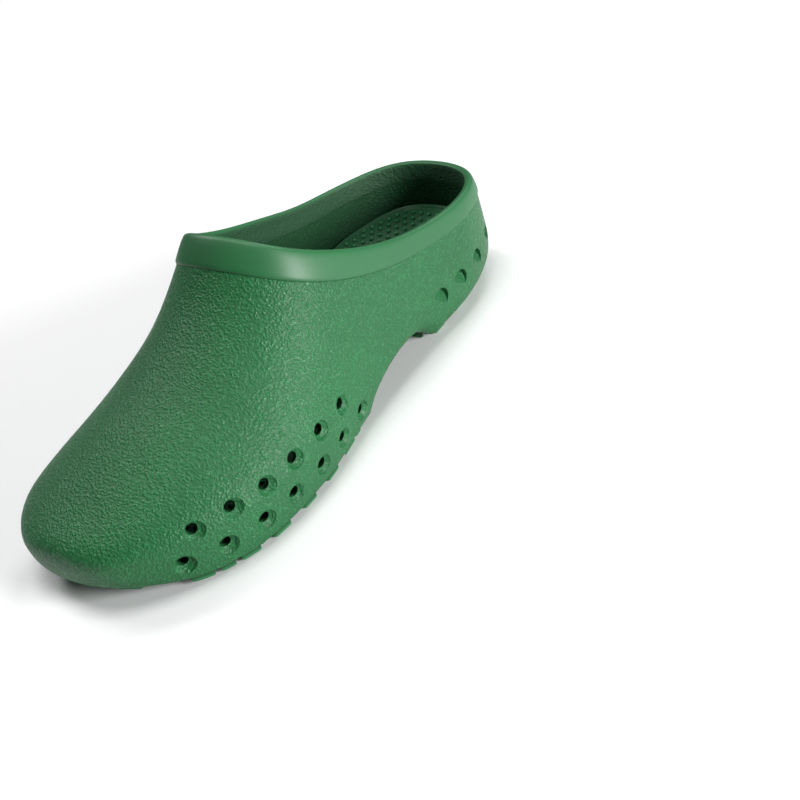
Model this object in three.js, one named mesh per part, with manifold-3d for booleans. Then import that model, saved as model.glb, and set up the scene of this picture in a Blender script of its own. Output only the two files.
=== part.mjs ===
// A slip-on garden clog for the left foot, built from six moulded pieces:
// an upper shell, its smooth collar band, a midsole, a lift-out footbed and two lugged treads.
// Millimetres. +X runs from heel to toe, +Y to the outer side of the foot, +Z up.
import * as THREE from 'three';
import { mergeVertices } from 'three/addons/utils/BufferGeometryUtils.js';
import Module from 'manifold-3d';

const wasm = await Module();
wasm.setup();

// ---------- driving dimensions ----------
const LENGTH = 264;            // overall, heel to toe
const WIDTH = 107.5;           // overall, across the ball of the foot
const INSTEP_RISE = 76;        // from the widest level up to the collar's front peak
const HEEL_RISE = 26;          // from the widest level up to the collar at the heel
const WIDEST_LEVEL = 22;       // height of the upper's widest line above the floor
const ARCH_RISE = 13.2;        // how far the waist of the sole stands off the floor
const TOE_SPRING = 6;          // how far the sole's toe end curls up
const WALL = 4.5;              // thickness of the upper shell
const BAND_FRONT = 14;         // height of the collar band at the instep
const BAND_HEEL = 9;           // height of the collar band at the heel
const BAND_PROUD = 0.9;        // how far the band's middle swells past the shell
const GAP = 0.3;               // parting gap between moulded pieces
const WAIST_REVEAL = 0.3;      // the shell's lower edge stands this far above the smooth waist
const LUG_HEIGHT = 3;          // height of the tread lugs
const TREAD_WEB = 1.6;         // web that joins the lugs of one tread
const SKIRT = 1;               // thickness of the shell's skirt round the treads
const SKIRT_LEVEL = 2.4;       // height of the skirt's lower edge above the lug tips
const ROW_PITCH = 12;          // hexagon lugs, across the foot
const COLUMN_PITCH = 17.3;     // hexagon lugs, along the foot
const LUG_GROOVE = 2.4;        // clear width between neighbouring lugs
const DIAMOND_HEIGHT = 8.9;    // diamond lugs, across the foot between their blunt tips
const BLUNTING = 0.9;          // most of a sharp diamond's height that its blunt tips may reach
const MIDSOLE_BALL = 3.5;      // midsole thickness over the tread, under the ball
const MIDSOLE_HEEL = 14.6;     // and under the heel
const MIDSOLE_WAIST = 5.5;     // least midsole thickness over the smooth waist
const SEAT_GAP = 0.9;          // clearance of the midsole inside the sloping shell wall
const FOOTBED = 3.4;           // footbed thickness
const FOOTBED_LIP = 4;         // raised rim round the footbed's heel
const LIP_WIDTH = 5;           // width of that rim
const FOOTBED_CLEARANCE = 1.3; // clearance round the footbed, so that it lifts out
const VENT_BORE = 4.6;         // side vents
const SCOOP_RADIUS = 6;        // heel scoops
const SCOOP_DEPTH = 2.2;

// ---------- resolution ----------
const STATION_PITCH = 4.125;   // the stations round the outline grow in number with the length
const AROUND = Math.round(LENGTH / STATION_PITCH);
const UNDER_STEPS = 3;         // rows from the tread border up to the widest line
const WALL_STEPS = 9;          // rows from the widest line up to the collar band
const SPAN_STEPS = 14;         // points in each span of a guide curve
const LINE_STEPS = 60;         // trial heights along one station's wall line
const HALVINGS = 16;           // halvings that close in on the upper's surface
const TOP_ANGLE = 1.52;        // the wall lines stop just short of upright
const ROW_CROWDING = 0.55;     // how much the shell's rows crowd towards the widest line
const SLAB_STEP = 6;           // step along X of the slabs that follow a height curve

// ---------- guide curves, drawn on a last of these sizes ----------
const LAST = { length: 264, width: 107.5, instep: 76, heel: 26, spring: 6 };
const scaleX = LENGTH / LAST.length;
const scaleY = WIDTH / LAST.width;
const scaleInstep = INSTEP_RISE / LAST.instep;
const scaleHeel = HEEL_RISE / LAST.heel;

// The widest line of the upper, and the tread's border under it, seen from above.
const OUTLINE = [
  [-133.5, 8.8], [-125.7, 32.3], [-97.4, 45.1], [-49.5, 44.7], [-5.6, 47.2], [38.6, 53.1],
  [78.6, 48.5], [108.6, 31.9], [127.8, 9.3], [130.5, -15.2], [126.1, -34.7], [105.3, -52.6],
  [64.7, -54.1], [19.3, -44.1], [-20.7, -34.5], [-60, -32.6], [-99.4, -30.5], [-127.9, -15.4],
];
const BORDER = [
  [-128, 8.5], [-120, 26.5], [-96, 32.3], [-50, 36], [-5, 40.7], [40, 49.4], [78, 46.5],
  [104, 33.3], [120, 9.6], [125.5, -14.5], [120.5, -30.7], [100, -44.5], [65, -47.9],
  [20, -38.2], [-20, -21], [-60, -22.5], [-98, -22.5], [-121, -9],
];
// Rise of the upper's crest above the widest level. Behind x = 12 it only shapes the side walls.
const CREST = [
  [-133, 58], [-125, 95], [-90, 104], [-40, 92], [0, 88], [12, 74.8], [30, 55.1], [55, 38.8],
  [85, 25.7], [110, 14.9], [127, 7.5], [129.9, 5],
];
// Rise of the collar's top edge above the widest level, and how much lower its outer side runs.
const COLLAR_LINE = [
  [-150, 26], [-130, 26.3], [-100, 28.8], [-70, 34.3], [-45, 42.9], [-20, 54.4], [0, 66.6],
  [12, 77.4], [25, 88.7], [60, 118],
];
const COLLAR_TILT = [[-150, 0], [-90, -0.7], [-45, 1.9], [0, 0.4], [60, 0]];
// Exponent of the side walls' cross-section: 2 is an ellipse, more is boxier.
const FULLNESS = [[-140, 3.1], [-60, 2.8], [0, 1.9], [40, 1.55], [90, 1.7], [140, 2.4]];
const CENTRE = [-45, 6];       // the wall lines fan out from here

// Places along and across the last
const TREAD_EDGE = -2;         // where the forefoot tread meets the waist
const HEEL_FRONT = -60;        // front edge of the heel tread
const ARCH_BACK = -63;         // where the waist starts to rise in front of the heel
const RECESS_END = -86;        // rear end of the heel tread's central recess
const RECESS_SIDES = [-7, 22]; // inner and outer side of that recess
const FIRST_ROW = -1.5;        // a row of hexagons lies on this line
const SPRING_START = 80;       // the sole is flat from the tread edge to here
const SPRING_SHAPE = [[80, 0], [105, 1.75], [127, 6], [140, 9]];
const ARCH_SHAPE = [[-63, 0], [-50, 0.84], [-35, 1], [-15, 0.6], [-2, 0]];
const VENT_ROWS = [
  { level: 14.3, first: 4.8, count: 7, pitch: 17.9 },
  { level: 26.8, first: 18, count: 6, pitch: 17.1 },
];
const SCOOPS = { level: 19.5, places: [-67, -82, -98, -116] };
const BED_SLOPE = [-42, 40];   // the footbed climbs between these places
const LIP_END = [-60, 0];      // the footbed's rim fades out between these
const COLLAR_RUN = [-110, 0];  // the collar's height passes from heel to instep between these
const BAND_RUN = [-110, 10];   // and the band's height between these
const TILT_MIDDLE = 5;         // the collar tilts about this line
const TILT_REACH = 40;         // and reaches its full tilt this far to its side
const TOOTH_ROOT = 1;          // how far the waist's half lugs reach back into the waist

// ---------- curves ----------
function spline(points, closed) {
  const path = points.map(([x, y]) => new THREE.Vector3(x, y, 0));
  const curve = new THREE.CatmullRomCurve3(path, closed, 'centripetal');
  const spans = closed ? points.length : points.length - 1;
  return curve.getPoints(spans * SPAN_STEPS);
}

// y at x along a run of points whose x keeps rising
function reader(points) {
  return (x) => {
    const last = points.length - 1;
    if (x <= points[0].x) return points[0].y;
    if (x >= points[last].x) return points[last].y;
    const i = points.findIndex((p) => p.x > x);
    const a = points[i - 1];
    const b = points[i];
    return a.y + (b.y - a.y) * (x - a.x) / (b.x - a.x);
  };
}

const guide = (pairs) => reader(spline(pairs.map(([x, y]) => [x * scaleX, y]), false));
const between = (x, [from, to]) => THREE.MathUtils.smoothstep(x / scaleX, from, to);

const outline = spline(OUTLINE.map(([x, y]) => [x * scaleX, y * scaleY]), true).slice(0, -1);
const border = spline(BORDER.map(([x, y]) => [x * scaleX, y * scaleY]), true).slice(0, -1);
const toe = outline.reduce((a, b) => (b.x > a.x ? b : a));
const heel = outline.reduce((a, b) => (b.x < a.x ? b : a));

// The outer and the inner side of the outline, both read from heel to toe.
function side(sign) {
  const chord = (p) => heel.y + (toe.y - heel.y) * (p.x - heel.x) / (toe.x - heel.x);
  const half = outline.filter((p) => p !== heel && p !== toe && sign * (p.y - chord(p)) > 0);
  return reader([heel, ...half.sort((a, b) => a.x - b.x), toe]);
}
const outerSide = side(1);
const innerSide = side(-1);

const crestRise = reader([
  new THREE.Vector3(heel.x, 0, 0),
  ...spline(CREST.map(([x, z]) => [x * scaleX, z * scaleInstep]), false),
  new THREE.Vector3(toe.x, 0, 0),
]);
const collarLine = guide(COLLAR_LINE);
const collarTilt = guide(COLLAR_TILT);
const fullness = guide(FULLNESS);
const archShape = guide(ARCH_SHAPE);
const springShape = guide(SPRING_SHAPE);
const treadEdge = TREAD_EDGE * scaleX;
const heelFront = HEEL_FRONT * scaleX;
const archBack = ARCH_BACK * scaleX;

function collarHeight(x, y) {
  const scale = scaleHeel + (scaleInstep - scaleHeel) * between(x, COLLAR_RUN);
  const across = THREE.MathUtils.clamp((y / scaleY - TILT_MIDDLE) / TILT_REACH, -1, 1);
  return WIDEST_LEVEL + collarLine(x) * scale - collarTilt(x) * across;
}

// Underside of the sole: flat at heel and ball, raised at the waist, curling up at the toe.
function soleHeight(x) {
  if (x > archBack && x < treadEdge) return Math.max(0, archShape(x)) * ARCH_RISE;
  if (x > SPRING_START * scaleX) return springShape(x) * TOE_SPRING / LAST.spring;
  return 0;
}
const treadDepth = LUG_HEIGHT + TREAD_WEB;
const springOnly = (x) => (x > treadEdge ? soleHeight(x) : 0);
// The skirt's lower edge, and the seat inside it on which the shell rests over the treads
const skirtHeight = (x) => Math.max(springOnly(x) + SKIRT_LEVEL, soleHeight(x) + WAIST_REVEAL);
const seatHeight = (x) => Math.max(springOnly(x) + treadDepth + GAP, skirtHeight(x) + SKIRT / 2);

function bedHeight(x) {
  const midsoleDepth = MIDSOLE_HEEL + (MIDSOLE_BALL - MIDSOLE_HEEL) * between(x, BED_SLOPE);
  const level = treadDepth + GAP + midsoleDepth + springOnly(x);
  return Math.max(level, soleHeight(x) + MIDSOLE_WAIST);
}

// ---------- the upper's outer surface ----------
// Below 1 inside the upper, above 1 outside.
function shape(x, y, z) {
  if (x <= heel.x || x >= toe.x) return 9;
  const left = outerSide(x);
  const right = innerSide(x);
  const middle = (left + right) / 2;
  const half = Math.max((left - right) / 2, 0.001);
  const rise = Math.max(crestRise(x), 0.001);
  const up = Math.max(z - WIDEST_LEVEL, 0) / rise;
  return ((y - middle) / half) ** 2 + up ** fullness(x);
}

function surfacePoint(direction, angle) {
  const at = (reach) => new THREE.Vector3(
    centre.x + direction.x * Math.cos(angle) * reach,
    centre.y + direction.y * Math.cos(angle) * reach,
    WIDEST_LEVEL + Math.sin(angle) * reach,
  );
  const inside = (reach) => {
    const p = at(reach);
    return shape(p.x, p.y, p.z) < 1;
  };
  const STRIDE = 5;
  let reach = STRIDE;
  while (inside(reach)) reach += STRIDE;
  let low = reach - STRIDE;
  for (let i = 0; i < HALVINGS; i += 1) {
    const mid = (low + reach) / 2;
    if (inside(mid)) low = mid;
    else reach = mid;
  }
  return at(reach);
}

const centre = new THREE.Vector2(CENTRE[0] * scaleX, CENTRE[1] * scaleY);

// Even steps along a closed or open run of points
function resample(points, shares) {
  const lengths = [0];
  for (let i = 1; i < points.length; i += 1) {
    lengths.push(lengths[i - 1] + points[i].distanceTo(points[i - 1]));
  }
  const total = lengths[lengths.length - 1];
  return shares.map((share) => {
    const target = share * total;
    let i = lengths.findIndex((length) => length >= target - 1e-9);
    i = Math.max(i, 1);
    const t = (target - lengths[i - 1]) / (lengths[i] - lengths[i - 1]);
    return points[i - 1].clone().lerp(points[i], t);
  });
}

function borderReach(direction) {
  for (let i = 0; i < border.length; i += 1) {
    const a = border[i].clone().sub(new THREE.Vector3(centre.x, centre.y, 0));
    const b = border[(i + 1) % border.length].clone().sub(new THREE.Vector3(centre.x, centre.y, 0));
    const crossA = direction.x * a.y - direction.y * a.x;
    const crossB = direction.x * b.y - direction.y * b.x;
    const ahead = a.x * direction.x + a.y * direction.y > 0;
    if (ahead && crossA * crossB <= 0 && crossA !== crossB) {
      const p = a.lerp(b, crossA / (crossA - crossB));
      return p.x * direction.x + p.y * direction.y;
    }
  }
  throw new Error('The border does not close round the centre');
}

const stationShares = Array.from({ length: AROUND }, (_, i) => i / AROUND);
const basePoints = resample([...outline, outline[0]], stationShares);

// Dense wall line of each station, from the widest line up to the collar's edge.
const wallLines = basePoints.map((base) => {
  const direction = new THREE.Vector2(base.x - centre.x, base.y - centre.y).normalize();
  const line = [new THREE.Vector3(base.x, base.y, WIDEST_LEVEL)];
  const over = (p) => p.z - collarHeight(p.x, p.y);
  for (let i = 1; i <= LINE_STEPS; i += 1) {
    const point = surfacePoint(direction, TOP_ANGLE * i / LINE_STEPS);
    const before = line[line.length - 1];
    if (over(point) > 0) {
      line.push(before.clone().lerp(point, over(before) / (over(before) - over(point))));
      break;
    }
    line.push(point);
  }
  return { direction, line };
});

const lineLength = (line) => line.slice(1).reduce((sum, p, i) => sum + p.distanceTo(line[i]), 0);
const bandHeight = (x) => BAND_HEEL + (BAND_FRONT - BAND_HEEL) * between(x, BAND_RUN);

// Shares of each wall line at the rows of the shell, closer together near the widest line.
const stations = wallLines.map(({ direction, line }, i) => {
  const length = lineLength(line);
  const edge = line[line.length - 1];
  const bandStart = 1 - bandHeight(edge.x) / length;
  const shellEnd = bandStart - GAP / length;
  const shares = Array.from({ length: WALL_STEPS + 1 }, (_, k) => (
    shellEnd * (k / WALL_STEPS) * (1 - ROW_CROWDING * (1 - k / WALL_STEPS))));
  const reach = borderReach(direction);
  const low = new THREE.Vector3(
    centre.x + direction.x * reach, centre.y + direction.y * reach, 0);
  low.z = skirtHeight(low.x);
  return { base: basePoints[i], low, line, length, bandStart, wall: resample(line, shares) };
});

const next = (i) => (i + 1) % AROUND;
const prior = (i) => (i + AROUND - 1) % AROUND;

function flatNormal(pick, i) {
  const along = pick(stations[next(i)]).clone().sub(pick(stations[prior(i)]));
  return new THREE.Vector3(-along.y, along.x, 0).normalize();
}
// The outline runs clockwise seen from above, so its left-hand normal points outward.
const turn = THREE.ShapeUtils.area(outline) < 0 ? 1 : -1;
const baseNormals = stations.map((_, i) => flatNormal((s) => s.base, i).multiplyScalar(turn));
const lowNormals = stations.map((_, i) => flatNormal((s) => s.low, i).multiplyScalar(turn));

function surfaceNormals(rows) {
  return rows.map((row, k) => row.map((_, i) => {
    if (k === 0) return baseNormals[i];
    const up = rows[Math.min(k + 1, rows.length - 1)][i].clone().sub(rows[k - 1][i]);
    const along = row[next(i)].clone().sub(row[prior(i)]);
    return along.cross(up).normalize().multiplyScalar(-turn);
  }));
}

const wallRows = Array.from({ length: WALL_STEPS + 1 }, (_, k) => stations.map((s) => s.wall[k]));
const wallNormals = surfaceNormals(wallRows);

// Rows of the wrapped underside, `inset` inside its outer face: a quarter ellipse at each station
// that starts at the skirt's edge or, inside the shell, at the seat.
function underRows(inset, startHeight) {
  const rows = [];
  for (let k = 0; k < UNDER_STEPS; k += 1) {
    const angle = Math.PI / 2 * (1 - k / UNDER_STEPS);
    rows.push(stations.map((s, i) => {
      const low = s.low.clone().addScaledVector(lowNormals[i], -inset);
      const base = s.base.clone().addScaledVector(baseNormals[i], -inset);
      const p = low.clone().lerp(base, Math.cos(angle));
      p.z = WIDEST_LEVEL - (WIDEST_LEVEL - startHeight(s.low.x)) * Math.sin(angle);
      return p;
    }));
  }
  return rows;
}

// A ring inside the shell's lower edge
const lowRing = (inset, height) => stations.map((s, i) => (
  s.low.clone().addScaledVector(lowNormals[i], -inset).setZ(height(s.low.x))));

const insetRows = (inset) => wallRows.map((row, k) => row.map((p, i) => (
  p.clone().addScaledVector(wallNormals[k][i], -inset))));

// ---------- building closed bodies ----------
function toGeometry(positions, index) {
  const geometry = new THREE.BufferGeometry();
  geometry.setAttribute('position', new THREE.Float32BufferAttribute(positions, 3));
  geometry.setIndex(index);
  return geometry;
}

function volume(geometry) {
  const p = geometry.attributes.position;
  const index = geometry.index.array;
  const [a, b, c] = [new THREE.Vector3(), new THREE.Vector3(), new THREE.Vector3()];
  let sum = 0;
  for (let i = 0; i < index.length; i += 3) {
    a.fromBufferAttribute(p, index[i]);
    b.fromBufferAttribute(p, index[i + 1]);
    c.fromBufferAttribute(p, index[i + 2]);
    sum += a.dot(b.cross(c)) / 6;
  }
  return sum;
}

// Rows of stations joined into a tube. A looped tube closes on its first row, the other is capped.
function fromRows(rows, looped) {
  const points = rows.flat();
  const index = [];
  const count = rows.length;
  const bands = looped ? count : count - 1;
  for (let k = 0; k < bands; k += 1) {
    const lower = k * AROUND;
    const upper = ((k + 1) % count) * AROUND;
    for (let i = 0; i < AROUND; i += 1) {
      const j = next(i);
      index.push(lower + i, lower + j, upper + j, lower + i, upper + j, upper + i);
    }
  }
  if (!looped) {
    const caps = [rows[0], rows[count - 1]];
    caps.forEach((row, end) => {
      const height = row.reduce((sum, p) => sum + p.z, 0) / AROUND;
      points.push(new THREE.Vector3(centre.x, centre.y, height));
      const pole = points.length - 1;
      const start = end === 0 ? 0 : (count - 1) * AROUND;
      for (let i = 0; i < AROUND; i += 1) {
        const rim = [start + i, start + next(i)];
        index.push(pole, ...(end === 0 ? rim.reverse() : rim));
      }
    });
  }
  const geometry = toGeometry(points.flatMap((p) => [p.x, p.y, p.z]), index);
  if (volume(geometry) < 0) geometry.setIndex(index.reverse());
  return geometry;
}

function solid(geometry) {
  const bare = geometry.clone();
  bare.deleteAttribute('normal');
  bare.deleteAttribute('uv');
  const merged = mergeVertices(bare, 1e-4);
  return new wasm.Manifold(new wasm.Mesh({
    numProp: 3,
    vertProperties: new Float32Array(merged.attributes.position.array),
    triVerts: new Uint32Array(merged.index.array),
  }));
}

function geometryOf(body) {
  const mesh = body.getMesh();
  return toGeometry(Array.from(mesh.vertProperties), Array.from(mesh.triVerts));
}

// Everything inside the shell, with `clearance` to its inner face, reaching below the sole.
function cavity(clearance) {
  const raise = (row) => row.map((p) => p.clone().setZ(p.z + clearance));
  const under = underRows(WALL + clearance, seatHeight).map(raise);
  const below = under[0].map((p) => p.clone().setZ(-ARCH_RISE));
  return solid(fromRows([below, ...under, ...insetRows(WALL + clearance).map(raise)], false));
}

// A slab that follows two height curves along X and is wider than the clog.
function slab(from, to, lower, upper) {
  const count = Math.ceil((to - from) / SLAB_STEP);
  const places = Array.from({ length: count + 1 }, (_, i) => from + (to - from) * i / count);
  const corners = [
    ...places.map((x) => new THREE.Vector2(x, lower(x))),
    ...places.slice().reverse().map((x) => new THREE.Vector2(x, upper(x))),
  ];
  const depth = WIDTH * 1.5;
  const geometry = new THREE.ExtrudeGeometry(new THREE.Shape(corners), {
    depth, bevelEnabled: false,
  });
  geometry.rotateX(Math.PI / 2);
  geometry.translate(0, depth / 2, 0);
  return solid(geometry);
}

const PRISM_HEIGHT = 60;
function prism(shapes) {
  const geometry = new THREE.ExtrudeGeometry(shapes, { depth: PRISM_HEIGHT, bevelEnabled: false });
  geometry.translate(0, 0, -PRISM_HEIGHT / 2);
  return solid(geometry);
}

const borderShape = (inset) => new THREE.Shape(stations.map((s, i) => (
  new THREE.Vector2(s.low.x, s.low.y).addScaledVector(lowNormals[i], -inset))));

// ---------- upper shell ----------
function ventPlaces() {
  const walk = outline.filter((p) => p.y > 0).sort((a, b) => a.x - b.x);
  const places = [];
  VENT_ROWS.forEach(({ level, first, count, pitch }) => {
    const start = new THREE.Vector3(first * scaleX, outerSide(first * scaleX), 0);
    const run = [start, ...walk.filter((p) => p.x > start.x)];
    const total = lineLength(run);
    for (let k = 0; k < count; k += 1) {
      const along = k * pitch * scaleX;
      const [a, b] = resample(run, [along / total, (along + 1) / total]);
      const normal = new THREE.Vector3(-(b.y - a.y), b.x - a.x, 0).normalize();
      places.push({ point: a.clone().setZ(level), normal });
    }
  });
  return places;
}

function ventCutter({ point, normal }) {
  const length = WALL * 6;
  const geometry = new THREE.CylinderGeometry(VENT_BORE / 2, VENT_BORE / 2, length, 10);
  const upright = new THREE.Vector3(0, 1, 0);
  geometry.applyQuaternion(new THREE.Quaternion().setFromUnitVectors(upright, normal));
  geometry.translate(point.x, point.y, point.z);
  return solid(geometry);
}

function scoopCutter(place) {
  const x = place * scaleX;
  const slope = (outerSide(x + 1) - outerSide(x - 1)) / 2;
  const normal = new THREE.Vector3(-slope, 1, 0).normalize();
  const point = new THREE.Vector3(x, outerSide(x), SCOOPS.level);
  point.addScaledVector(normal, SCOOP_RADIUS - SCOOP_DEPTH);
  const geometry = new THREE.SphereGeometry(SCOOP_RADIUS, 12, 8);
  geometry.translate(point.x, point.y, point.z);
  return solid(geometry);
}

function upperShell() {
  const outer = [...underRows(0, skirtHeight), ...wallRows];
  const inner = [...underRows(WALL, seatHeight), ...insetRows(WALL)].reverse();
  const skirt = [lowRing(SKIRT, seatHeight), lowRing(SKIRT, skirtHeight)];
  let body = solid(fromRows([...outer, ...inner, ...skirt], true));
  ventPlaces().forEach((vent) => {
    body = body.subtract(ventCutter(vent));
  });
  SCOOPS.places.forEach((place) => {
    body = body.subtract(scoopCutter(place));
  });
  return geometryOf(body);
}

// ---------- collar band ----------
// Each pair is a share of the band's height and a depth inside the shell's outer face.
function collarBand() {
  const section = [
    [0, 0], [0.2, -BAND_PROUD * 0.7], [0.5, -BAND_PROUD], [0.85, -BAND_PROUD * 0.8],
    [0.97, 0.1 * WALL], [1, 0.35 * WALL], [1, 0.7 * WALL], [0.95, 1.05 * WALL],
    [0.5, WALL], [0, WALL],
  ];
  const lines = section.map(([share]) => stations.map((s) => (
    resample(s.line, [s.bandStart + (1 - s.bandStart) * share])[0])));
  const steps = lines.map((row, k) => row.map((p, i) => {
    const s = stations[i];
    const share = s.bandStart + (1 - s.bandStart) * section[k][0];
    const back = resample(s.line, [Math.max(share - 2 / s.length, 0)])[0];
    const up = p.clone().sub(back);
    const along = row[next(i)].clone().sub(row[prior(i)]);
    return along.cross(up).normalize().multiplyScalar(-turn);
  }));
  const rows = lines.map((row, k) => row.map((p, i) => (
    p.clone().addScaledVector(steps[k][i], -section[k][1]))));
  return fromRows(rows, true);
}

// ---------- lugs ----------
function hexagon(x, y) {
  const radius = (ROW_PITCH - LUG_GROOVE) / 2 / Math.cos(Math.PI / 6);
  const corners = Array.from({ length: 6 }, (_, k) => new THREE.Vector2(
    x + radius * Math.cos(k * Math.PI / 3), y + radius * Math.sin(k * Math.PI / 3)));
  return new THREE.Shape(corners);
}

// A rhomb whose sides keep the groove's width to the four hexagons round it, with blunt tips.
function diamond(x, y) {
  const slope = Math.PI / 6;
  const toSide = COLUMN_PITCH / 2 * Math.cos(slope) + ROW_PITCH / 2 * Math.sin(slope)
    - (ROW_PITCH - LUG_GROOVE) / 2 - LUG_GROOVE;
  const halfWide = toSide / Math.cos(slope);
  const sharpTip = toSide / Math.sin(slope);
  const halfTall = Math.min(DIAMOND_HEIGHT / 2, sharpTip * BLUNTING);
  const blunt = halfWide - halfTall * Math.tan(slope);
  return new THREE.Shape([
    [halfWide, 0], [blunt, halfTall], [-blunt, halfTall],
    [-halfWide, 0], [-blunt, -halfTall], [blunt, -halfTall],
  ].map(([dx, dy]) => new THREE.Vector2(x + dx, y + dy)));
}

function lattice(firstColumn, columns) {
  const rows = Math.ceil(WIDTH / ROW_PITCH / 2) + 1;
  const shapes = [];
  for (let c = 0; c < columns; c += 1) {
    const x = firstColumn + c * COLUMN_PITCH;
    for (let r = -rows; r <= rows; r += 1) {
      const y = FIRST_ROW + r * ROW_PITCH;
      shapes.push(hexagon(x, y), diamond(x - COLUMN_PITCH / 2, y + ROW_PITCH / 2));
    }
  }
  return prism(shapes);
}

// One tread: a web that follows the sole, with every lug of the lattice that falls on it.
function tread(from, to, lugs) {
  const area = prism([borderShape(SKIRT + GAP)]);
  const web = slab(from, to, (x) => springOnly(x) + LUG_HEIGHT, (x) => springOnly(x) + treadDepth);
  const reach = slab(from, to, springOnly, (x) => springOnly(x) + treadDepth - TREAD_WEB / 2);
  return web.intersect(area).add(lugs.intersect(reach).intersect(area));
}

function waistTeeth(grow) {
  const rows = Math.ceil(WIDTH / ROW_PITCH / 2) + 1;
  const radius = (ROW_PITCH - LUG_GROOVE) / 2 / Math.cos(Math.PI / 6) + grow;
  const shapes = [];
  for (let r = -rows; r <= rows; r += 1) {
    const y = FIRST_ROW + r * ROW_PITCH;
    shapes.push(new THREE.Shape([
      new THREE.Vector2(treadEdge - TOOTH_ROOT, y - radius * Math.sin(Math.PI / 3)),
      new THREE.Vector2(treadEdge + radius / 2, y - radius * Math.sin(Math.PI / 3)),
      new THREE.Vector2(treadEdge + radius, y),
      new THREE.Vector2(treadEdge + radius / 2, y + radius * Math.sin(Math.PI / 3)),
      new THREE.Vector2(treadEdge - TOOTH_ROOT, y + radius * Math.sin(Math.PI / 3)),
    ]));
  }
  return prism(shapes);
}

function forefootTread() {
  const columns = Math.ceil((toe.x - treadEdge) / COLUMN_PITCH);
  const lugs = lattice(treadEdge + COLUMN_PITCH, columns);
  const body = tread(treadEdge + GAP, toe.x, lugs).subtract(waistTeeth(GAP / Math.cos(Math.PI / 6)));
  return geometryOf(body);
}

function heelTread() {
  const columns = Math.ceil((heelFront - heel.x) / COLUMN_PITCH) + 1;
  const lugs = lattice(heelFront + COLUMN_PITCH / 2 - columns * COLUMN_PITCH, columns + 1);
  const end = RECESS_END * scaleX;
  const [inner, outer] = RECESS_SIDES.map((y) => y * scaleY);
  const radius = (outer - inner) / 2;
  const recess = new THREE.Shape();
  recess.moveTo(0, inner);
  recess.lineTo(0, outer);
  recess.lineTo(end + radius, outer);
  recess.absarc(end + radius, (inner + outer) / 2, radius, Math.PI / 2, Math.PI * 1.5, false);
  return geometryOf(tread(heel.x, heelFront, lugs).subtract(prism([recess])));
}

// ---------- midsole ----------
function midsole() {
  const top = (x) => bedHeight(x) - GAP;
  const core = cavity(SEAT_GAP).intersect(slab(heel.x, toe.x, seatHeight, top));
  const back = heelFront + GAP;
  const overlap = (x) => seatHeight(x) + GAP;
  const waist = slab(back, treadEdge, soleHeight, overlap);
  const teeth = waistTeeth(0).intersect(
    slab(treadEdge - TOOTH_ROOT, treadEdge + ROW_PITCH, springOnly, overlap));
  const plate = waist.add(teeth).intersect(prism([borderShape(WALL + SEAT_GAP)]));
  return geometryOf(core.add(plate));
}

// ---------- footbed ----------
function footbed() {
  const lip = (x) => FOOTBED + FOOTBED_LIP * (1 - between(x, LIP_END));
  const inside = cavity(FOOTBED_CLEARANCE);
  const sheet = inside.intersect(slab(heel.x, toe.x, bedHeight, (x) => bedHeight(x) + FOOTBED));
  const rim = inside.intersect(slab(heel.x, 0, bedHeight, (x) => bedHeight(x) + lip(x)))
    .subtract(cavity(FOOTBED_CLEARANCE + LIP_WIDTH));
  return geometryOf(sheet.add(rim));
}

// ---------- materials and assembly ----------
const green = (color, roughness) => new THREE.MeshStandardMaterial({
  color, roughness, metalness: 0,
});
const pieces = [
  ['upper_shell', upperShell(), green(0x2f7d45, 0.5)],
  ['collar_band', collarBand(), green(0x2f7f49, 0.38)],
  ['midsole', midsole(), green(0x1d4a2c, 0.55)],
  ['footbed', footbed(), green(0x246238, 0.6)],
  ['forefoot_tread', forefootTread(), green(0x205c38, 0.5)],
  ['heel_tread', heelTread(), green(0x205c38, 0.5)],
];

const clog = new THREE.Group();
pieces.forEach(([name, geometry, material]) => {
  const mesh = new THREE.Mesh(geometry, material);
  mesh.name = name;
  clog.add(mesh);
});

// The origin is the middle of the clog's footprint, on the floor.
const box = new THREE.Box3().setFromObject(clog);
const middle = box.getCenter(new THREE.Vector3());
clog.position.set(-middle.x, -middle.y, -box.min.z);

export default clog;
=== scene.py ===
"""A slip-on garden clog for the left foot, moulded in one green rubbery foam.

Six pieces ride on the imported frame: a grained upper shell, its smooth collar band, a midsole,
a lift-out footbed with massage nubs, and two lugged treads. The file is laid out as an add-on
and is run as a script. Meshes are worked out in millimetres and set down in metres.
"""

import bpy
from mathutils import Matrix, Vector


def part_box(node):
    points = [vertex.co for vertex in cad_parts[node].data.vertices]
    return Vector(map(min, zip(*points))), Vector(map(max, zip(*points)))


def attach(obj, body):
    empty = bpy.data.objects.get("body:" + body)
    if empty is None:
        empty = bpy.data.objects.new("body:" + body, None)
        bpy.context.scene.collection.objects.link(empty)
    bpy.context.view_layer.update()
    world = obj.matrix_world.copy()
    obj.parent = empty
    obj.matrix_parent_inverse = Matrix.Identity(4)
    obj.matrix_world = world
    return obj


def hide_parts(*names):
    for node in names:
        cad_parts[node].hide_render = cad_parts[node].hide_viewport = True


bl_info = {
    "name": "Garden clog",
    "version": (1, 0, 0),
    "blender": (4, 5, 0),
    "location": "View3D > Sidebar > Clog",
    "description": "Builds a moulded garden clog piece by piece around its packed frame",
    "category": "Object",
}

import functools
import math

import bpy
import numpy as np
from mathutils import Matrix, Vector

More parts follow.
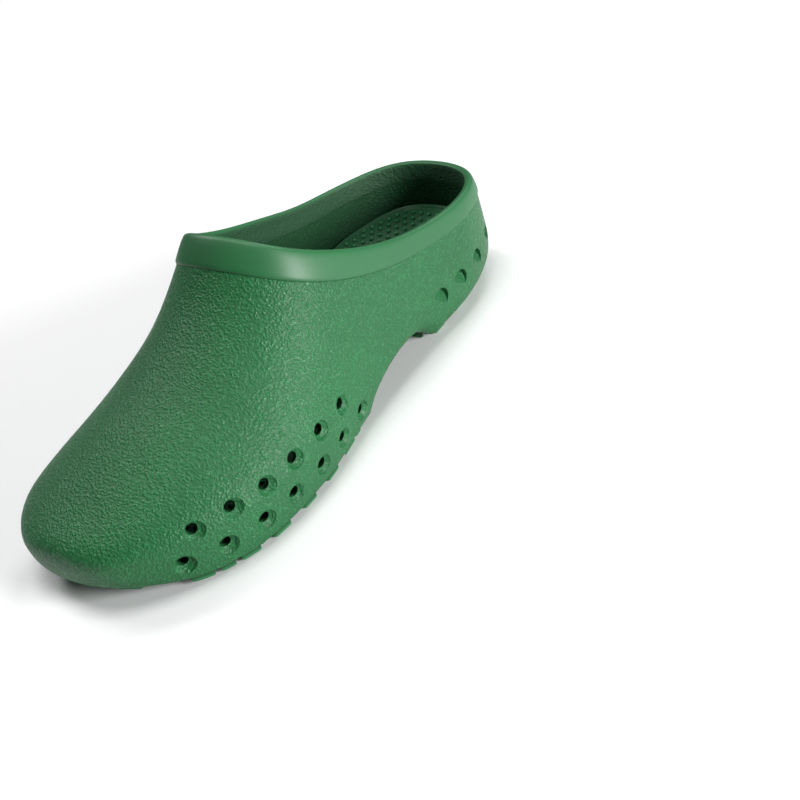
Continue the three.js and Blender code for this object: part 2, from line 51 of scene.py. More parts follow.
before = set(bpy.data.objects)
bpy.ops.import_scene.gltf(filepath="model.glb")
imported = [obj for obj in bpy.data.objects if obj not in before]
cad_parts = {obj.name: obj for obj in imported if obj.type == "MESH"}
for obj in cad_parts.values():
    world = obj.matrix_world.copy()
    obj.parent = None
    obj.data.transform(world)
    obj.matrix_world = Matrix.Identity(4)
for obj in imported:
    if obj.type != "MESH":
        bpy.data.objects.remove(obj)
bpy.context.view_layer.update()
MM = 0.001

# ---------- the last: sizes in millimetres, +X to the toe, +Y to the outer side ----------
WIDEST_LEVEL = 22.0            # height of the upper's widest line
ARCH_RISE = 13.2               # how far the waist of the sole stands off the floor
TOE_SPRING = 6.0
SHELL_WALL = 4.5
BAND_FRONT, BAND_HEEL = 14.0, 9.0
LUG_HEIGHT, TREAD_WEB = 3.0, 1.6
TREAD_DEPTH = LUG_HEIGHT + TREAD_WEB
GAP = 0.3
ROW_PITCH, COLUMN_PITCH = 12.0, 17.3
LUG_GROOVE = 2.4
HEXAGON_RADIUS = (ROW_PITCH - LUG_GROOVE) / 2 / math.cos(math.pi / 6)
DIAMOND_HEIGHT = 8.9
MIDSOLE_BALL, MIDSOLE_HEEL, MIDSOLE_WAIST = 3.5, 14.6, 5.5
FOOTBED_THICK, FOOTBED_LIP = 3.4, 4.0
NUB_RISE = 1.2                 # how far the footbed's nubs stand up
NUB_FIELD = ((-120, 118), (-50, 50))   # the x and y over which rows of nubs are tried
CORE_CLEARANCE, FOOTBED_CLEARANCE = 0.5, 1.3   # their gaps to the wall's inner face
SKIRT, SKIRT_LEVEL, WAIST_REVEAL = 1.0, 2.4, 0.3   # the shell's edge round the treads

OUTLINE = [
    (-133.5, 8.8), (-125.7, 32.3), (-97.4, 45.1), (-49.5, 44.7), (-5.6, 47.2), (38.6, 53.1),
    (78.6, 48.5), (108.6, 31.9), (127.8, 9.3), (130.5, -15.2), (126.1, -34.7), (105.3, -52.6),
    (64.7, -54.1), (19.3, -44.1), (-20.7, -34.5), (-60, -32.6), (-99.4, -30.5), (-127.9, -15.4),
]
BORDER = [
    (-128, 8.5), (-121, 27.5), (-96, 35.8), (-50, 38.2), (-5, 41.5), (40, 49.4), (78, 46.5),
    (104, 33.3), (120, 9.6), (125.5, -14.5), (120.5, -30.7), (100, -44.5), (65, -47.9),
    (20, -38.2), (-20, -21), (-60, -22.5), (-98, -22.5), (-121, -9),
]
CREST = [
    (-133, 58), (-125, 95), (-90, 104), (-40, 92), (0, 88), (12, 74.8), (30, 55.1), (55, 38.8),
    (85, 25.7), (110, 14.9), (127, 7.5), (129.9, 5),
]
COLLAR_LINE = [
    (-150, 26), (-130, 26.3), (-100, 28.8), (-70, 34.3), (-45, 42.9), (-20, 54.4), (0, 66.6),
    (12, 77.4), (25, 88.7), (60, 118),
]
COLLAR_TILT = [(-150, 0), (-90, -0.7), (-45, 1.9), (0, 0.4), (60, 0)]
FULLNESS = [(-140, 3.1), (-60, 2.8), (0, 1.9), (40, 1.55), (90, 1.7), (140, 2.4)]
CENTRE = (-45.0, 6.0)
TREAD_EDGE, HEEL_FRONT, ARCH_BACK = -2.0, -60.0, -63.0
RECESS_END, RECESS_SIDES = -86.0, (-7.0, 22.0)
FIRST_ROW = -1.5
SPRING_START = 80.0
SPRING_SHAPE = [(80, 0), (105, 1.75), (127, 6), (140, 9)]
ARCH_SHAPE = [(-63, 0), (-50, 0.84), (-35, 1), (-15, 0.6), (-2, 0)]
BED_SLOPE = (-42.0, 40.0)
VENT_ROWS = [(14.3, 4.8, 7, 17.9), (26.8, 18.0, 6, 17.1)]   # level, first x, count, pitch
SCOOP_LEVEL, SCOOP_PLACES = 19.5, (-67, -82, -98, -116)

# ---------- resolution ----------
AROUND = 420                   # stations round the outline
UNDER_ROWS = 14                # rows of the wrapped underside
UNDER_SINES = np.sin(np.linspace(math.pi / 2, 0, UNDER_ROWS + 1)[:-1])
WALL_ROWS = 76                 # rows from the widest line to the collar
SPAN_STEPS = 40                # points in each span of a guide curve
LINE_STEPS = 260               # trial heights along one station's wall line
TOP_SMOOTHING = 8.0            # reach along the collar over which the wall's top is averaged
NORMAL_SMOOTHING = 13.0        # and over which the wall's normals are averaged


# ---------- curves ----------
def spline(points, closed=False):
    """A centripetal Catmull-Rom curve through the points, SPAN_STEPS to a span."""
    p = np.array(points, float)
    if closed:
        ring = np.vstack([p[-1:], p, p[:2]])
    else:
        ring = np.vstack([2 * p[:1] - p[1:2], p, 2 * p[-1:] - p[-2:-1]])
    t = np.linspace(0, 1, SPAN_STEPS, endpoint=False)[:, None]
    run = []
    for a, b, c, d in zip(ring, ring[1:], ring[2:], ring[3:]):
        da, db, dc = (max(math.sqrt(np.linalg.norm(v)), 1e-4) for v in (b - a, c - b, d - c))
        start = ((b - a) / da - (c - a) / (da + db) + (c - b) / db) * db
        end = ((c - b) / db - (d - b) / (db + dc) + (d - c) / dc) * db
        run.append(b + start * t + (3 * (c - b) - 2 * start - end) * t ** 2
                   + (2 * (b - c) + start + end) * t ** 3)
    if not closed:
        run.append(p[-1:])
    return np.vstack(run)


def level_along(run):
    """A function of x, read off a run of points."""
    return lambda x: np.interp(x, run[:, 0], run[:, 1])


def guide(points):
    return level_along(spline(points))


def ease(t):
    t = np.clip(t, 0, 1)
    return t * t * (3 - 2 * t)


def lengths_along(run):
    return np.concatenate([[0], np.cumsum(np.linalg.norm(np.diff(run, axis=0), axis=1))])


def resample(run, shares):
    """Points at shares of the length of an open run."""
    along = lengths_along(run)
    places = np.asarray(shares) * along[-1]
    return np.stack([np.interp(places, along, run[:, i]) for i in range(run.shape[1])], -1)


def unit(v):
    return v / np.maximum(np.linalg.norm(v, axis=-1, keepdims=True), 1e-12)


def loop_normals(ring):
    """Level outward normals of a closed run that goes clockwise seen from above."""
    along = np.roll(ring, -1, 0) - np.roll(ring, 1, 0)
    flat = np.stack([-along[:, 1], along[:, 0], np.zeros(len(ring))], -1)
    return unit(flat)


def two_sides(ring):
    """The outer and the inner side of a closed run, each from its back end to its front end."""
    back, front = int(ring[:, 0].argmin()), int(ring[:, 0].argmax())
    outer = np.roll(ring, -back, 0)[:(front - back) % len(ring) + 1]
    inner = np.roll(ring, -front, 0)[:(back - front) % len(ring) + 1][::-1]
    return outer, inner


outline = spline(OUTLINE, True)
border = spline(BORDER, True)
outer_run, inner_run = two_sides(outline)
heel, toe = outer_run[0], outer_run[-1]
outer_side, inner_side = level_along(outer_run), level_along(inner_run)
crest_rise = level_along(np.vstack([[(heel[0], 0)], spline(CREST), [(toe[0], 0)]]))
collar_line, collar_tilt = guide(COLLAR_LINE), guide(COLLAR_TILT)
fullness, arch_shape, spring_shape = guide(FULLNESS), guide(ARCH_SHAPE), guide(SPRING_SHAPE)


def collar_height(x, y):
    return WIDEST_LEVEL + collar_line(x) - collar_tilt(x) * np.clip((y - 5) / 40, -1, 1)


def sole_height(x):
    """Underside of the sole: flat at heel and ball, raised at the waist, up at the toe."""
    waist = (x > ARCH_BACK) & (x < TREAD_EDGE)
    rise = np.where(waist, np.maximum(0, arch_shape(x)) * ARCH_RISE, 0)
    return np.where(x > SPRING_START, spring_shape(x) * TOE_SPRING / SPRING_SHAPE[2][1], rise)


def spring_only(x):
    return np.where(x > TREAD_EDGE, sole_height(x), 0)


def skirt_height(x):
    """Lower edge of the shell, round the treads and along the waist."""
    return np.maximum(spring_only(x) + SKIRT_LEVEL, sole_height(x) + WAIST_REVEAL)


def seat_height(x):
    """Where the shell rests on the midsole, inside that edge."""
    return np.maximum(spring_only(x) + TREAD_DEPTH + GAP, skirt_height(x) + SKIRT / 2)


def bed_height(x):
    """Underside of the footbed."""
    back = ease((BED_SLOPE[1] - x) / (BED_SLOPE[1] - BED_SLOPE[0]))
    depth = MIDSOLE_BALL + (MIDSOLE_HEEL - MIDSOLE_BALL) * back
    return np.maximum(TREAD_DEPTH + GAP + depth + spring_only(x), sole_height(x) + MIDSOLE_WAIST)


def band_height(x):
    return BAND_HEEL + (BAND_FRONT - BAND_HEEL) * ease((x + 110) / 120)


# ---------- the upper's outer surface ----------
def fullness_value(x, y, z):
    """Below 1 inside the upper, above 1 outside."""
    left, right = outer_side(x), inner_side(x)
    half = np.maximum((left - right) / 2, 0.001)
    up = np.maximum(z - WIDEST_LEVEL, 0) / np.maximum(crest_rise(x), 0.001)
    value = ((y - (left + right) / 2) / half) ** 2 + up ** fullness(x)
    return np.where((x <= heel[0]) | (x >= toe[0]), 9, value)


def wall_lines(directions):
    """For each station, the points of its wall where rays from the centre leave the upper."""
    angles = np.linspace(0, math.pi / 2 * 0.97, LINE_STEPS + 1)[1:]
    cos, sin = np.cos(angles), np.sin(angles)

    def at(reach):
        return (CENTRE[0] + directions[:, :1] * cos * reach,
                CENTRE[1] + directions[:, 1:] * cos * reach,
                WIDEST_LEVEL + sin * reach)

    stride = 5.0
    reach = np.full((len(directions), LINE_STEPS), stride)
    inside = fullness_value(*at(reach)) < 1
    while inside.any():
        reach = np.where(inside, reach + stride, reach)
        inside &= fullness_value(*at(reach)) < 1
    low, high = reach - stride, reach
    for _ in range(22):
        mid = (low + high) / 2
        inside = fullness_value(*at(mid)) < 1
        low, high = np.where(inside, mid, low), np.where(inside, high, mid)
    return np.stack(at(high), -1)


def border_reach(direction):
    """How far the tread border lies from the centre, along a level direction."""
    a = border - np.array(CENTRE)
    b = np.roll(a, -1, 0)
    cross_a = direction[0] * a[:, 1] - direction[1] * a[:, 0]
    cross_b = direction[0] * b[:, 1] - direction[1] * b[:, 0]
    hits = (cross_a * cross_b <= 0) & (cross_a != cross_b) & (a @ direction > 0)
    i = int(np.flatnonzero(hits)[0])
    p = a[i] + (b[i] - a[i]) * cross_a[i] / (cross_a[i] - cross_b[i])
    return float(p @ direction)


def cut_at_collar(line):
    over = line[:, 2] - collar_height(line[:, 0], line[:, 1])
    i = int(np.argmax(over > 0))
    t = over[i - 1] / (over[i - 1] - over[i])
    return np.vstack([line[:i], line[i - 1] + (line[i] - line[i - 1]) * t])


def smoothed(values, ring, spread):
    """Values round a closed run of points, averaged over their neighbours within a reach."""
    steps = np.linalg.norm(np.roll(ring, -1, 0) - ring, axis=1)
    along = np.concatenate([[0], np.cumsum(steps)[:-1]])
    gap = np.abs(along[:, None] - along[None, :])
    gap = np.minimum(gap, steps.sum() - gap)
    weights = np.exp(-0.5 * (gap / spread) ** 2) * (steps + np.roll(steps, 1))
    weights /= weights.sum(1, keepdims=True)
    return weights @ values


def evened(lines):
    """The wall lines, evened out along the collar: not at all at the base, most at the top."""
    shares = np.linspace(0, 1, LINE_STEPS // 2)
    rows = np.stack([resample(line, shares) for line in lines], 1)
    edge = rows[-1]
    for k, share in enumerate(shares):
        spread = TOP_SMOOTHING * float(ease((share - 0.4) / 0.6))
        if spread > 0.5:
            rows[k] = smoothed(rows[k], edge, spread)
    return [rows[:, i] for i in range(AROUND)]


def make_stations():
    """The base and low point of every station, and its wall line up to the collar's edge."""
    closed = np.vstack([outline, outline[:1]])
    base = resample(closed, np.arange(AROUND) / AROUND)
    directions = unit(base - np.array(CENTRE))
    low = np.array(CENTRE) + directions * np.array([[border_reach(d)] for d in directions])
    base = np.column_stack([base, np.full(AROUND, WIDEST_LEVEL)])
    low = np.column_stack([low, skirt_height(low[:, 0])])
    walls = wall_lines(directions)
    lines = [cut_at_collar(np.vstack([base[i:i + 1], walls[i]])) for i in range(AROUND)]
    return base, low, evened(lines)


base_ring, low_ring, wall_runs = make_stations()
base_normals, low_normals = loop_normals(base_ring), loop_normals(low_ring)
seat_levels = seat_height(low_ring[:, 0])
collar_ring = np.array([line[-1] for line in wall_runs])
wall_lengths = np.array([lengths_along(line)[-1] for line in wall_runs])
band_starts = 1 - band_height(np.array([line[-1, 0] for line in wall_runs])) / wall_lengths


def wall_rows(start, end, count):
    """Rows between two shares of each wall line; start and end hold one share per station."""
    steps = np.linspace(0, 1, count)
    rows = [resample(line, start[i] + (end[i] - start[i]) * steps)
            for i, line in enumerate(wall_runs)]
    return np.stack(rows, 1)


def row_normals(rows):
    """Outward normals of rows of stations, evened out along the collar."""
    along = np.roll(rows, -1, 1) - np.roll(rows, 1, 1)
    up = np.gradient(rows, axis=0)
    normals = unit(np.cross(up, along))
    return unit(np.stack([smoothed(row, collar_ring, NORMAL_SMOOTHING) for row in normals]))


def under_point(inset, sine, start):
    """A ring of the wrapped underside; sine is 1 at its start level and 0 at the widest line."""
    low = low_ring - low_normals * inset
    base = base_ring - base_normals * inset
    ring = low + (base - low) * np.sqrt(np.clip(1 - sine ** 2, 0, 1))[..., None]
    ring[:, 2] = WIDEST_LEVEL - (WIDEST_LEVEL - start) * sine
    return ring


def ring_at(inset, height):
    """The ring inside the wall where it stands at height(x)."""
    sine = np.ones(AROUND)
    for _ in range(4):
        ring = under_point(inset, sine, seat_levels)
        drop = WIDEST_LEVEL - height(ring[:, 0])
        sine = np.clip(drop / (WIDEST_LEVEL - seat_levels), 0, 1)
    ring = under_point(inset, sine, seat_levels)
    ring[:, 2] = height(ring[:, 0])
    return ring


# ---------- meshes ----------
def shell_centre():
    span = np.vstack([base_ring, *wall_runs])
    return (span.min(0) + span.max(0)) / 2


cad_low, cad_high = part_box("upper_shell")
SHIFT = np.array((cad_low + cad_high) / 2) - shell_centre() * MM
SHIFT[2] = 0


def to_frame(points):
    """Millimetres on the last to metres in the frame."""
    return np.asarray(points) * MM + SHIFT


def signed_volume(points, faces):
    total = 0.0
    for face in faces:
        a = points[face[0]]
        for b, c in zip(face[1:-1], face[2:]):
            total += float(np.dot(a, np.cross(points[b], points[c])))
    return total


def body(points, faces):
    """A closed body as (points, faces), with its faces turned outward."""
    points = np.asarray(points, float)
    if signed_volume(points, faces) < 0:
        faces = [tuple(reversed(face)) for face in faces]
    return points, faces


def loft(rows, ends="loop"):
    """Rows of equal count joined into a tube: looped, or closed with fans to the rows' middles."""
    rows = np.asarray(rows, float)
    count, around = rows.shape[:2]
    points = list(rows.reshape(-1, 3))
    faces = []
    for k in range(count if ends == "loop" else count - 1):
        lower, upper = k * around, (k + 1) % count * around
        for i in range(around):
            j = (i + 1) % around
            faces.append((lower + i, lower + j, upper + j, upper + i))
    if ends == "fans":
        for row, start, turned in ((rows[0], 0, True), (rows[-1], (count - 1) * around, False)):
            points.append(row.mean(0))
            pole = len(points) - 1
            for i in range(around):
                pair = (start + i, start + (i + 1) % around)
                faces.append((pole, *(reversed(pair) if turned else pair)))
    return body(points, faces)


def joined(bodies):
    """Several closed bodies as one list of points and faces."""
    points, faces, start = [], [], 0
    for some_points, some_faces in bodies:
        points.append(some_points)
        faces.extend(tuple(i + start for i in face) for face in some_faces)
        start += len(some_points)
    return np.vstack(points), faces


def put_down(name, made):
    """A new object in the scene from (points, faces)."""
    points, faces = made
    mesh = bpy.data.meshes.new(name)
    mesh.from_pydata(to_frame(points).tolist(), [], faces)
    mesh.validate()
    piece = bpy.data.objects.new(name, mesh)
    bpy.context.scene.collection.objects.link(piece)
    return piece


def remove(piece):
    mesh = piece.data
    bpy.data.objects.remove(piece)
    bpy.data.meshes.remove(mesh)


def combine(piece, made, operation):
    """Joins a closed body to the piece, or cuts it away, and keeps the result as its mesh."""
    tool = put_down("tool", made)
    step = piece.modifiers.new("step", "BOOLEAN")
    step.operation, step.solver, step.object = operation, "MANIFOLD", tool
    settled = piece.evaluated_get(bpy.context.evaluated_depsgraph_get())
    mesh = bpy.data.meshes.new_from_object(settled)
    if not mesh.polygons or len(mesh.polygons) == len(piece.data.polygons):
        raise RuntimeError(f"{piece.name}: a {operation.lower()} step changed nothing")
    piece.modifiers.clear()
    before, piece.data = piece.data, mesh
    bpy.data.meshes.remove(before)
    remove(tool)
    return piece


def finish_piece(piece, material, body_name, node, sharp=32):
    """Smooth shading with crisp edges, a finish, and its place on the frame."""
    mesh = piece.data
    mesh.name = piece.name
    mesh.polygons.foreach_set("use_smooth", [True] * len(mesh.polygons))
    mesh.set_sharp_from_angle(angle=math.radians(sharp))
    mesh.materials.clear()
    mesh.materials.append(material)
    mesh.update()
    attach(piece, body_name)
    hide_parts(node)
    return piece


def circle_round(start, end, sides):
    """The axis from one point to another, and the unit circle round it."""
    axis = unit(end - start)
    spare = (0, 0, 1) if abs(axis[2]) < 0.9 else (1, 0, 0)
    u = unit(np.cross(axis, spare))
    v = np.cross(axis, u)
    angles = np.arange(sides) * 2 * math.pi / sides
    return axis, np.cos(angles)[:, None] * u + np.sin(angles)[:, None] * v


def rod(start, end, radius, sides=28):
    """A closed cylinder between two points."""
    _, ring = circle_round(start, end, sides)
    return loft([start + ring * radius, end + ring * radius], "fans")


def gouge(start, end, radius, sides=32):
    """A closed rod with ball ends."""
    axis, ring = circle_round(start, end, sides)
    tilts = np.linspace(-math.pi / 2, 0, sides // 4 + 1)[1:]
    rows = [start + ring * radius * math.cos(t) + axis * radius * math.sin(t) for t in tilts]
    rows += [end + ring * radius * math.cos(t) - axis * radius * math.sin(t) for t in tilts[::-1]]
    return loft(rows, "fans")


# ---------- upper shell ----------
def outer_rows():
    under = [under_point(0, np.full(AROUND, s), low_ring[:, 2]) for s in UNDER_SINES]
    walls = wall_rows(np.zeros(AROUND), band_starts - 0.05 / wall_lengths, WALL_ROWS)
    return np.stack(under), walls


def shell_body(wall):
    """The shell's outer face, its collar rim, its inner face, its seat and its lower edge."""
    under, walls = outer_rows()
    normals = row_normals(walls)
    normals[0] = base_normals
    normals[1] = unit(normals[0] + normals[2])
    inner_walls = walls - normals * wall
    inner_under = [under_point(wall, np.full(AROUND, s), seat_levels) for s in UNDER_SINES]

    def edge(inset, levels):
        ring = low_ring - low_normals * inset
        ring[:, 2] = levels
        return ring

    eased = 0.3
    skirt = [edge(SKIRT, seat_levels), edge(SKIRT, low_ring[:, 2] + eased),
             edge(SKIRT - eased * 0.3, low_ring[:, 2] + eased * 0.3),
             edge(SKIRT - eased, low_ring[:, 2])]
    return loft([*under, *walls, *inner_walls[::-1], *inner_under[::-1], *skirt])


@functools.cache
def outer_face():
    """Every row of the upper's outer face, with its normals."""
    rows = np.concatenate(outer_rows())
    return rows, row_normals(rows)


def wall_spot(x, y, level):
    """The point of the wall's outer face nearest to a place, with its outward normal."""
    rows, normals = outer_face()
    gap = np.linalg.norm(rows - np.array([x, y, level]), axis=-1)
    k, i = np.unravel_index(gap.argmin(), gap.shape)
    return rows[k, i], normals[k, i]


def vent_spots():
    walk = outer_run[(outer_run[:, 1] > 0)]
    spots = []
    for level, first, count, pitch in VENT_ROWS:
        run = np.vstack([[(first, outer_side(first))], walk[walk[:, 0] > first]])
        total = lengths_along(run)[-1]
        for k in range(count):
            x, y = resample(run, [k * pitch / total])[0]
            spots.append(wall_spot(x, y, level))
    return spots


def tangents(normal):
    """The direction towards the heel and the one downward, both along the wall."""
    down = unit(np.array([0, 0, -1.0]) + normal * normal[2])
    rearward = np.cross(normal, down)
    return rearward * (-1 if rearward[0] > 0 else 1), down


PULL_LEAN = (0.35, 0.2, 0.3)   # the mould's side pins lean forward, outward and up
BOWL_SHIFT = (1.2, 1.5)        # a bowl's middle lies this far behind and below its bore
BOWL_STRETCH = 0.2             # half of how much longer than round a bowl is
BORE_OUT, BORE_IN = 6.0, 8.0   # how far a bore's cutter reaches past the wall's two faces


def vent_tools(bore, bowl, depth):
    """The cutters of the vents: their bowls, and the bores at the bowls' upper front side."""
    bowls, bores = [], []
    for point, normal in vent_spots():
        rearward, down = tangents(normal)
        middle = point + rearward * BOWL_SHIFT[0] + down * BOWL_SHIFT[1]
        ball = (bowl ** 2 + depth ** 2) / (2 * depth)
        eye = middle + normal * (ball - depth)
        stretch = rearward * BOWL_STRETCH
        bowls.append(gouge(eye - stretch, eye + stretch, ball))
        heading = unit(unit(normal * (1, 1, 0)) + PULL_LEAN)
        bores.append(rod(point + heading * BORE_OUT,
                         point - heading * (SHELL_WALL + BORE_IN), bore / 2))
    return joined(bowls), joined(bores)


def scoop(point, normal, radius, depth):
    """A round cutter whose floor slopes from its deep upper rear out of the wall in front."""
    rearward, down = tangents(normal)
    deep = unit(rearward - down * 1.5)
    across = np.cross(normal, deep)
    angles = np.arange(40) * math.pi / 20
    ring = np.cos(angles)[:, None] * deep + np.sin(angles)[:, None] * across

    def floor(size, short):
        along = np.cos(angles) * size + 0.35 * radius
        sink = along * (depth - short) / (1.35 * radius)
        return point + ring * size - normal * sink[:, None]

    return loft([point + ring * radius + normal * radius, floor(radius, 0.9),
                 floor(radius * 0.94, 0.3), floor(radius * 0.82, 0.0)], "fans")


def scoop_tools(radius, depth):
    tools = []
    for x in SCOOP_PLACES:
        point, normal = wall_spot(x, outer_side(x), SCOOP_LEVEL)
        tools.append(scoop(point, normal, radius, depth))
    return joined(tools)


# ---------- collar band ----------
def band_section(proud, wall):
    """Pairs of a share of the band's height and a depth inside the shell's outer face."""
    corners = [
        (0.0, 0.5), (0.0, 0.1), (0.03, -0.5 * proud), (0.1, -0.85 * proud), (0.3, -proud),
        (0.55, -proud), (0.78, -0.8 * proud), (0.91, -0.4 * proud), (0.97, 0.06 * wall),
        (1.0, 0.22 * wall), (1.0, 0.42 * wall), (0.97, 0.6 * wall), (0.9, 0.68 * wall),
        (0.6, 0.82 * wall), (0.3, 0.94 * wall), (0.03, 0.99 * wall), (0.0, 0.97 * wall),
        (0.0, 0.6 * wall),
    ]
    full = spline([(share * 12, depth) for share, depth in corners], True)
    return full[::8] / (12, 1)


def band_body(proud, wall):
    """The band, and how far each of its points belongs to the grained inner face, 0 to 1."""
    section = band_section(proud, wall)
    count = 25
    start = band_starts - 1.2 / wall_lengths
    rows = wall_rows(start, np.ones(AROUND), count)
    normals = row_normals(rows)
    steps = np.linspace(0, 1, count)
    made = []
    for share, depth in section:
        at = (band_starts + (1 - band_starts) * min(share, 1) - start) / (1 - start)
        k = np.clip(np.searchsorted(steps, at) - 1, 0, count - 2)
        t = ((at - steps[k]) * (count - 1))[:, None]
        i = np.arange(AROUND)
        point = rows[k, i] * (1 - t) + rows[k + 1, i] * t
        normal = normals[k, i] * (1 - t) + normals[k + 1, i] * t
        made.append(point - unit(normal) * depth)
    inner = ease((section[:, 1] / wall - 0.5) / 0.25)
    return loft(made), np.repeat(inner, AROUND)


# ---------- midsole, webs and the sole's border ----------
def cap_rings(ring, height, shares):
    """Rings that shrink from a ring to the centre, each at height(x)."""
    middle = np.array([*CENTRE, 0])
    made = []
    for share in shares:
        inner = middle + (ring - middle) * share
        inner[:, 2] = height(inner[:, 0])
        made.append(inner)
    return made


CAP_SHARES = (0.96, 0.88, 0.78, 0.67, 0.56, 0.45, 0.34, 0.23, 0.12, 0.04)


def core_body(inset):
    """The midsole inside the shell."""
    def top(x):
        return bed_height(x) - GAP

    rings = cap_rings(ring_at(inset, seat_height), seat_height, CAP_SHARES[::-1])
    for share in np.linspace(0, 1, 9):
        rings.append(ring_at(inset, lambda x: seat_height(x) * (1 - share) + top(x) * share))
    rings += cap_rings(rings[-1], top, CAP_SHARES)
    return loft(rings, "fans")


def plate(places, inner, outer, low, high, bevel, across=25):
    """A plate lofted along X, between inner(x) and outer(x), with its lower edges eased."""
    rows = []
    for x in places:
        left, right = float(inner(x)), float(outer(x))
        ease_by = min(bevel, (right - left) / 4)
        ys = np.linspace(left + ease_by, right - ease_by, across)
        z = float(low(x))
        section = [(left, float(high(x))), (left, z + ease_by)]
        section += [(y, z) for y in ys]
        section += [(right, z + ease_by), (right, float(high(x)))]
        rows.append([(x, y, z) for y, z in section])
    return loft(rows, "fans")


def border_sides(inset):
    """The inner and outer side of the tread border, moved inward, and the border itself."""
    ring = (low_ring - low_normals * inset)[:, :2]
    outer, inner = two_sides(ring)
    return level_along(inner), level_along(outer), ring


# ---------- lugs ----------
LEAST_LUG = 5.0                # smaller pieces of lugs are left out, mm2
LUG_INSET = 0.05               # lug ends stop this far inside the shell's border


def hexagon(x, y):
    return [(x + HEXAGON_RADIUS * math.cos(k * math.pi / 3),
             y + HEXAGON_RADIUS * math.sin(k * math.pi / 3)) for k in range(6)]


def diamond(x, y):
    slope = math.pi / 6
    to_side = (COLUMN_PITCH / 2 * math.cos(slope) + ROW_PITCH / 2 * math.sin(slope)
               - (ROW_PITCH - LUG_GROOVE) / 2 - LUG_GROOVE)
    wide = to_side / math.cos(slope)
    tall = min(DIAMOND_HEIGHT / 2, to_side / math.sin(slope) * 0.9)
    blunt = wide - tall * math.tan(slope)
    sides = [(wide, 0), (blunt, tall), (-blunt, tall), (-wide, 0), (-blunt, -tall), (blunt, -tall)]
    return [(x + dx, y + dy) for dx, dy in sides]


def clip(polygon, point, normal):
    """The part of a polygon on the side that the normal points away from."""
    kept = []
    reach = [np.dot(np.subtract(p, point), normal) for p in polygon]
    for i, p in enumerate(polygon):
        q, a, b = polygon[(i + 1) % len(polygon)], reach[i], reach[(i + 1) % len(polygon)]
        if a <= 0:
            kept.append(tuple(p))
        if a * b < 0:
            kept.append(tuple(np.add(p, np.subtract(q, p) * a / (a - b))))
    return kept


def area(polygon):
    p = np.array(polygon)
    q = np.roll(p, -1, 0)
    return abs(float((p[:, 0] * q[:, 1] - q[:, 0] * p[:, 1]).sum())) / 2


def clip_to_border(polygon, ring, normals):
    middle = np.mean(polygon, 0)
    nearest = int(np.linalg.norm(ring - middle, axis=1).argmin())
    for i in range(nearest - 4, nearest + 5):
        i %= AROUND
        polygon = clip(polygon, ring[i], normals[i, :2])
        if len(polygon) < 3:
            return []
    return polygon


def tidy_polygon(polygon, least=0.7):
    """The polygon without edges shorter than least."""
    kept = [polygon[0]]
    for p in polygon[1:]:
        if math.dist(p, kept[-1]) > least:
            kept.append(p)
    if math.dist(kept[0], kept[-1]) <= least:
        kept.pop()
    return kept


def lug_ring(polygon):
    """The polygon's edge with small round corners and a point in the middle of each side."""
    p = np.array(polygon)
    ring = []
    for i, corner in enumerate(p):
        before, after = p[i - 1] - corner, p[(i + 1) % len(p)] - corner
        cut = 0.4
        a = corner + before * min(cut / np.linalg.norm(before), 0.3)
        b = corner + after * min(cut / np.linalg.norm(after), 0.3)
        ring += [a, corner * 0.4 + (a + b) * 0.3, b, corner + after / 2]
    return np.array(ring)


def lug(polygon, bevel, dimple=None, pivot=None, top=LUG_HEIGHT + 0.4):
    """A lug that narrows downward, with eased edges, and a rhombic dimple if it has room."""
    ring = lug_ring(polygon)
    middle = np.array(polygon).mean(0) if pivot is None else np.array(pivot)
    edges = zip(polygon, polygon[1:] + polygon[:1])
    inradius = 2 * area(polygon) / sum(math.dist(a, b) for a, b in edges)

    def at(scale, z):
        flat = middle + (ring - middle) * scale
        return np.column_stack([flat, spring_only(flat[:, 0]) + z])

    def inset(depth):
        return 1 - min(depth / inradius, 0.6)

    rows = [at(1.0, top), at(1, bevel * 1.6), at(inset(bevel * 0.12), bevel),
            at(inset(bevel * 0.45), bevel * 0.4), at(inset(bevel), 0.0)]
    if dimple is not None:
        centre, half = dimple
        spokes = ring - centre
        angles = np.arctan2(spokes[:, 1], spokes[:, 0])
        rhomb = half / (np.abs(np.cos(angles)) + np.abs(np.sin(angles)))
        room = np.linalg.norm(spokes, axis=1) * inset(bevel) * 0.86
        heading = np.column_stack([np.cos(angles), np.sin(angles)])
        for size, z in ((1.3, 0.0), (1.0, 0.45), (0.9, 1.3), (0.45, 1.5)):
            flat = centre + heading * np.minimum(rhomb * size, room * size / 1.3)[:, None]
            rows.append(np.column_stack([flat, spring_only(flat[:, 0]) + z]))
    return loft(rows, "fans")


def lattice(first, columns):
    """(kind, centre, outline) of the lugs in columns of hexagons and the diamonds before them."""
    rows = 7
    for c in range(columns):
        x = first + c * COLUMN_PITCH
        for r in range(-rows, rows + 1):
            y = FIRST_ROW + r * ROW_PITCH
            yield "hexagon", (x, y), hexagon(x, y)
            half = (x - COLUMN_PITCH / 2, y + ROW_PITCH / 2)
            yield "diamond", half, diamond(*half)


def clipped(polygon, ring, front):
    """The part of a lug's outline inside the tread's border, or nothing if it is a sliver."""
    if front is not None:
        polygon = clip(polygon, (front, 0), (1, 0))
    if len(polygon) > 2:
        polygon = clip_to_border(polygon, ring, low_normals)
    if len(polygon) > 2:
        polygon = tidy_polygon(polygon)
    return polygon if len(polygon) > 2 and area(polygon) > LEAST_LUG else None


